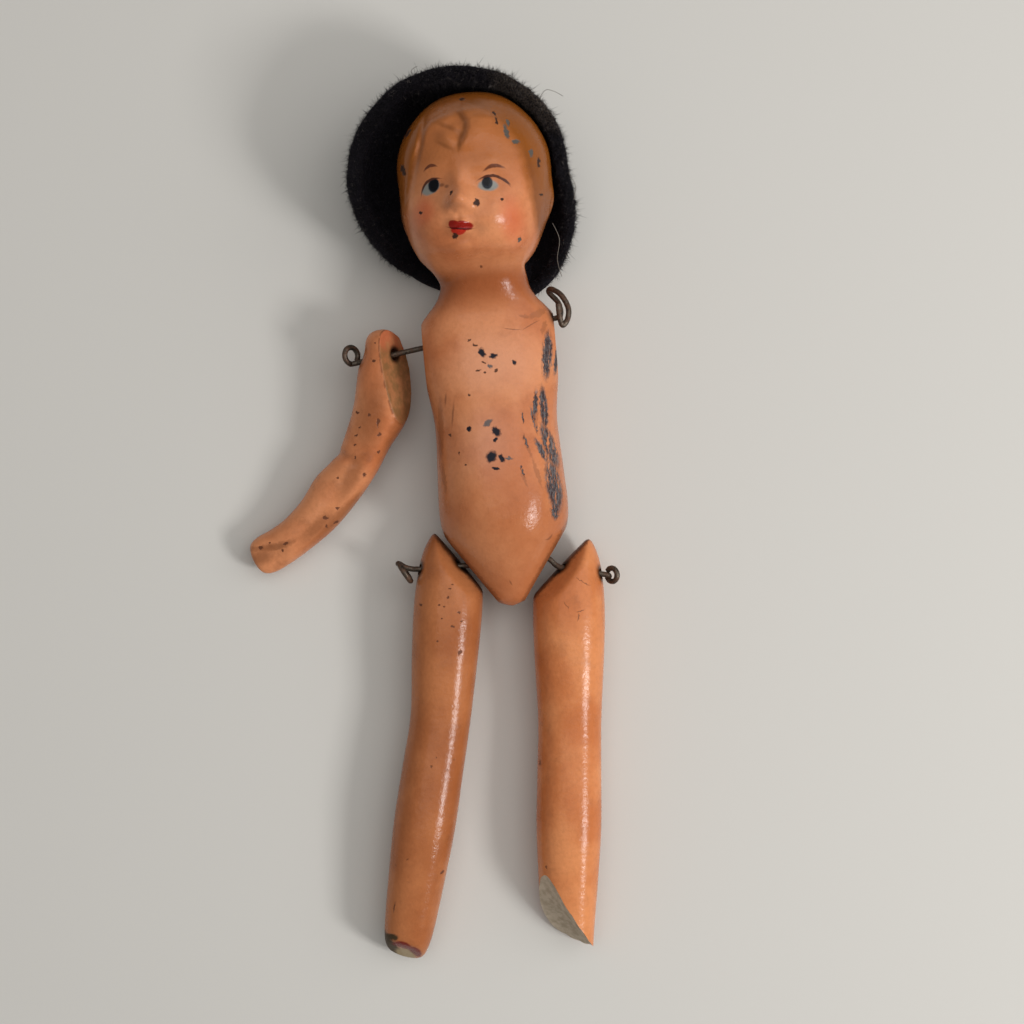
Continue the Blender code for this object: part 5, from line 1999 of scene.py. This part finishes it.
        girth = (first[:, None] * wide + second[:, None] * deep) * width[:, None, None]
        verts = (roots[:, None] + reach * along + girth)[keep]
        starts = range(0, len(verts) * len(blank), len(blank))
        polygons = [tuple(v + start for v in side) for start in starts for side in sides]
        fibre_mesh = bpy.data.meshes.new("wool_felt_nap")
        fibre_mesh.from_pydata(in_part(verts.reshape(-1, 3)), [], polygons)
        piece = bpy.data.objects.new("wool_felt_nap", fibre_mesh)
        bpy.context.scene.collection.objects.link(piece)
        return piece

    def clear_of(self, body: Piece, fibres: Array) -> Array:
        """Which fibres keep a gap to the head as the hat is drawn off along y.

        Args:
            body: The head and torso.
            fibres: The root and the tip of each fibre.

        Returns:
            One flag for each fibre.
        """
        coords = [Vector(p) for p in Bench.points(body)]
        tree = BVHTree.FromPolygons(coords, [tuple(p.vertices) for p in body.data.polygons])
        clear = np.ones(len(fibres), bool)
        for slide in self.slides:
            for i, ends in enumerate(in_part(fibres + np.array((0.0, slide, 0.0)))):
                for point in ends:
                    if clear[i]:
                        spot, facing, _, away = tree.find_nearest(Vector(point))
                        inside = (Vector(point) - spot).dot(facing) < 0
                        clear[i] = away > self.head_gap * MM and not inside
        return clear

    def dress_nap(self, piece: Piece, felt: WoolFelt) -> None:
        """Gives the fuzz its paler felt."""
        piece.data.materials.append(felt.material("wool_felt_fibres", 1.0))
        Bench.deliver(piece, "hat", "felt")

    def loose_threads(self) -> Piece:
        """The few pale threads that hang loose at the rim."""
        ends = [np.linspace(0, len(thread) - 1, 10 * len(thread)) for thread in self.threads]
        lines = [smooth_rows(*pair) for pair in zip(self.threads, ends)]
        return Bench.tubes("loose_threads", lines, self.thread_radius, 1)

    def dress_threads(self, piece: Piece) -> None:
        """Gives the threads their pale wool."""
        graph = Graph("pale_thread")
        colour = graph.mix(graph.noise(graph.place(), 2.0), srgb(150, 142, 130), srgb(86, 80, 76))
        piece.data.materials.append(graph.surface({"Base Color": colour, "Roughness": 0.9}))
        Bench.deliver(piece, "hat", "felt")


@dataclass
class Studio:
    """The floor, the lamps and the camera over the doll."""

    eye: tuple = (0.010466, 0.000825, 0.250)
    roll: float = -5.0
    lens: float = 68.06
    sensor: float = 36.0
    floor: Colour = srgb(203, 200, 194)
    floor_size: float = 6.0
    floor_drop: float = 0.00002
    room: Colour = (1.0, 0.99, 0.97, 1.0)
    ambient: float = 0.27
    aim: tuple = (0.0, 0.0, 0.008)

    # Lamps: name, place and size in metres, and watts.
    lamps = (
        ("window", (0.34, -0.17, 0.29), (0.10, 0.10), 1.1),
        ("wall", (0.32, 0.06, 0.32), (0.36, 0.36), 0.55),
        ("ceiling", (0.05, 0.20, 0.90), (0.9, 0.9), 2.8),
    )

    def build(self) -> None:
        """Sets the stage, the lamps and the camera."""
        self.lay_floor()
        self.light()
        self.place_camera()
        bpy.context.scene.view_settings.view_transform = "Standard"

    def lay_floor(self) -> None:
        """A plain pale floor."""
        Bench.clear()
        bpy.ops.mesh.primitive_plane_add(size=self.floor_size, location=(0, 0, -self.floor_drop))
        floor = bpy.context.object
        floor.name = "pale_floor"
        looks = {"Base Color": self.floor, "Roughness": 0.9, "Specular IOR Level": 0.1}
        floor.data.materials.append(Graph("pale_floor").surface(looks))

    def lamp(self, name: str, place: tuple, size: tuple, watts: float) -> None:
        """A soft lamp that faces the doll.

        Args:
            name: The lamp's name.
            place: Where it stands, in metres.
            size: Its width and height, in metres.
            watts: Its power.
        """
        Bench.clear()
        bpy.ops.object.light_add(type="AREA", location=place)
        lamp = bpy.context.object
        lamp.name = name
        lamp.data.shape = "RECTANGLE"
        lamp.data.size, lamp.data.size_y = size
        lamp.data.energy = watts
        aim = Vector(self.aim) - Vector(place)
        lamp.rotation_euler = aim.to_track_quat("-Z", "Y").to_euler()

    def light(self) -> None:
        """A window on the viewer's right, a wide soft light above, and the room's own light."""
        for lamp in self.lamps:
            self.lamp(*lamp)
        world = bpy.data.worlds.new("studio")
        bpy.context.scene.world = world
        world.use_nodes = True
        back = world.node_tree.nodes["Background"]
        back.inputs["Color"].default_value = self.room
        back.inputs["Strength"].default_value = self.ambient

    def place_camera(self) -> None:
        """The camera straight above the doll, turned as in the photograph."""
        data = bpy.data.cameras.new("camera")
        data.lens = self.lens
        data.sensor_width = self.sensor
        data.clip_start = 0.01
        camera = bpy.data.objects.new("camera", data)
        camera.location = self.eye
        camera.rotation_euler = (0.0, 0.0, math.radians(self.roll))
        bpy.context.scene.collection.objects.link(camera)
        bpy.context.scene.camera = camera


def right_leg() -> Leg:
    """The leg on the viewer's left, which ends in a chipped stump."""
    pits = (
        Mark(-9.09, -33.71, 0.16, 0.12),
        Mark(-8.43, -33.96, 0.14, 0.12),
        Mark(-6.65, -34.85, 0.20, 0.16),
        Mark(-7.63, -36.48, 0.20, 0.15),
        Mark(-6.56, -36.00, 0.12, 0.10),
        Mark(-7.04, -39.85, 0.34, 0.24, 65),
        Mark(-8.90, -35.40, 0.12, 0.10),
        Mark(-7.90, -32.80, 0.12, 0.10),
        Mark(-9.60, -38.20, 0.12, 0.10),
        Mark(-7.19, -31.34, 0.14, 0.10),
        Mark(-7.56, -31.79, 0.12, 0.10),
        Mark(-18.13, -71.11, 0.64, 0.09, 80),
        Mark(-11.67, -67.42, 0.28, 0.18, 45),
        Mark(-11.39, -33.57, 0.18, 0.16),
    )
    return Leg(
        side=Side.RIGHT,
        mouth_gap=0.75,
        offset=1.45,
        drop=0.0,
        slim=0.955,
        lean=9.0,
        shin_lean=13.5,
        wire_dip=0.0,
        end=52.0,
        break_at=(-17.18, -76.77, 5.0),
        break_normal=(-0.30, -0.80, 0.52),
        # A darker copy of the flesh paint: painted shade, as this leg lies further from the light.
        paint=FleshPaint(light=srgb(178, 110, 67), deep=srgb(156, 90, 51)),
        speckles=0.35,
        pit_colour=srgb(104, 60, 38),
        pits=pits,
    )


def left_leg() -> Leg:
    """The leg on the viewer's right, broken off on a slant."""
    pits = (
        Mark(10.03, -27.65, 0.18, 0.14),
        Mark(8.15, -36.79, 0.43, 0.08, 70, 1.5),
        Mark(8.42, -36.03, 0.47, 0.07, 10, 1.5),
        Mark(6.73, -35.19, 0.47, 0.06, -65),
        Mark(9.14, -32.48, 0.98, 0.05, -35, 2.0),
        Mark(1.40, -67.84, 0.28, 0.12, 85),
        Mark(1.75, -54.79, 0.40, 0.10, 85),
    )
    return Leg(
        side=Side.LEFT,
        mouth_gap=1.3,
        offset=1.15,
        drop=1.35,
        slim=1.0,
        lean=-4.5,
        shin_lean=-5.5,
        wire_dip=13.2,
        end=56.0,
        break_at=(2.95, -75.15, 3.47),
        break_normal=(-0.623, -0.579, 0.525),
        paint=FleshPaint(light=srgb(212, 136, 86), deep=srgb(190, 111, 64)),
        speckles=0.15,
        pit_colour=srgb(142, 86, 54),
        pits=pits,
    )


def main() -> None:
    """Builds and dresses the doll piece by piece, then sets the studio round it."""
    logging.basicConfig(level=logging.INFO, format="%(message)s")
    wires = WireRun()
    torso = HeadTorso()
    arm = RightArm()
    casting = torso.build(wires)
    torso.dress(casting, wires)
    arm.dress(arm.build(wires), wires)
    legs = {"right_leg": right_leg(), "left_leg": left_leg()}
    for name, leg in legs.items():
        leg.dress(leg.build(f"painted_{name}", leg.mouth(torso, wires)), name)
    iron = IronWire().material()
    hip = hip_route(wires, torso, legs["right_leg"], legs["left_leg"])
    for wire in (
        Wire("shoulder_wire", "shoulder_wire", shoulder_route(wires, arm)),
        Wire("hip_wire", "torso", hip),
    ):
        wire.dress(wire.build(), iron)
    hat = FeltHat()
    felt = WoolFelt()
    bowl = hat.build()
    hat.dress(bowl, felt)
    hat.dress_nap(hat.nap(bowl, casting), felt)
    hat.dress_threads(hat.loose_threads())
    Studio().build()


if __name__ == "__main__":
    main()
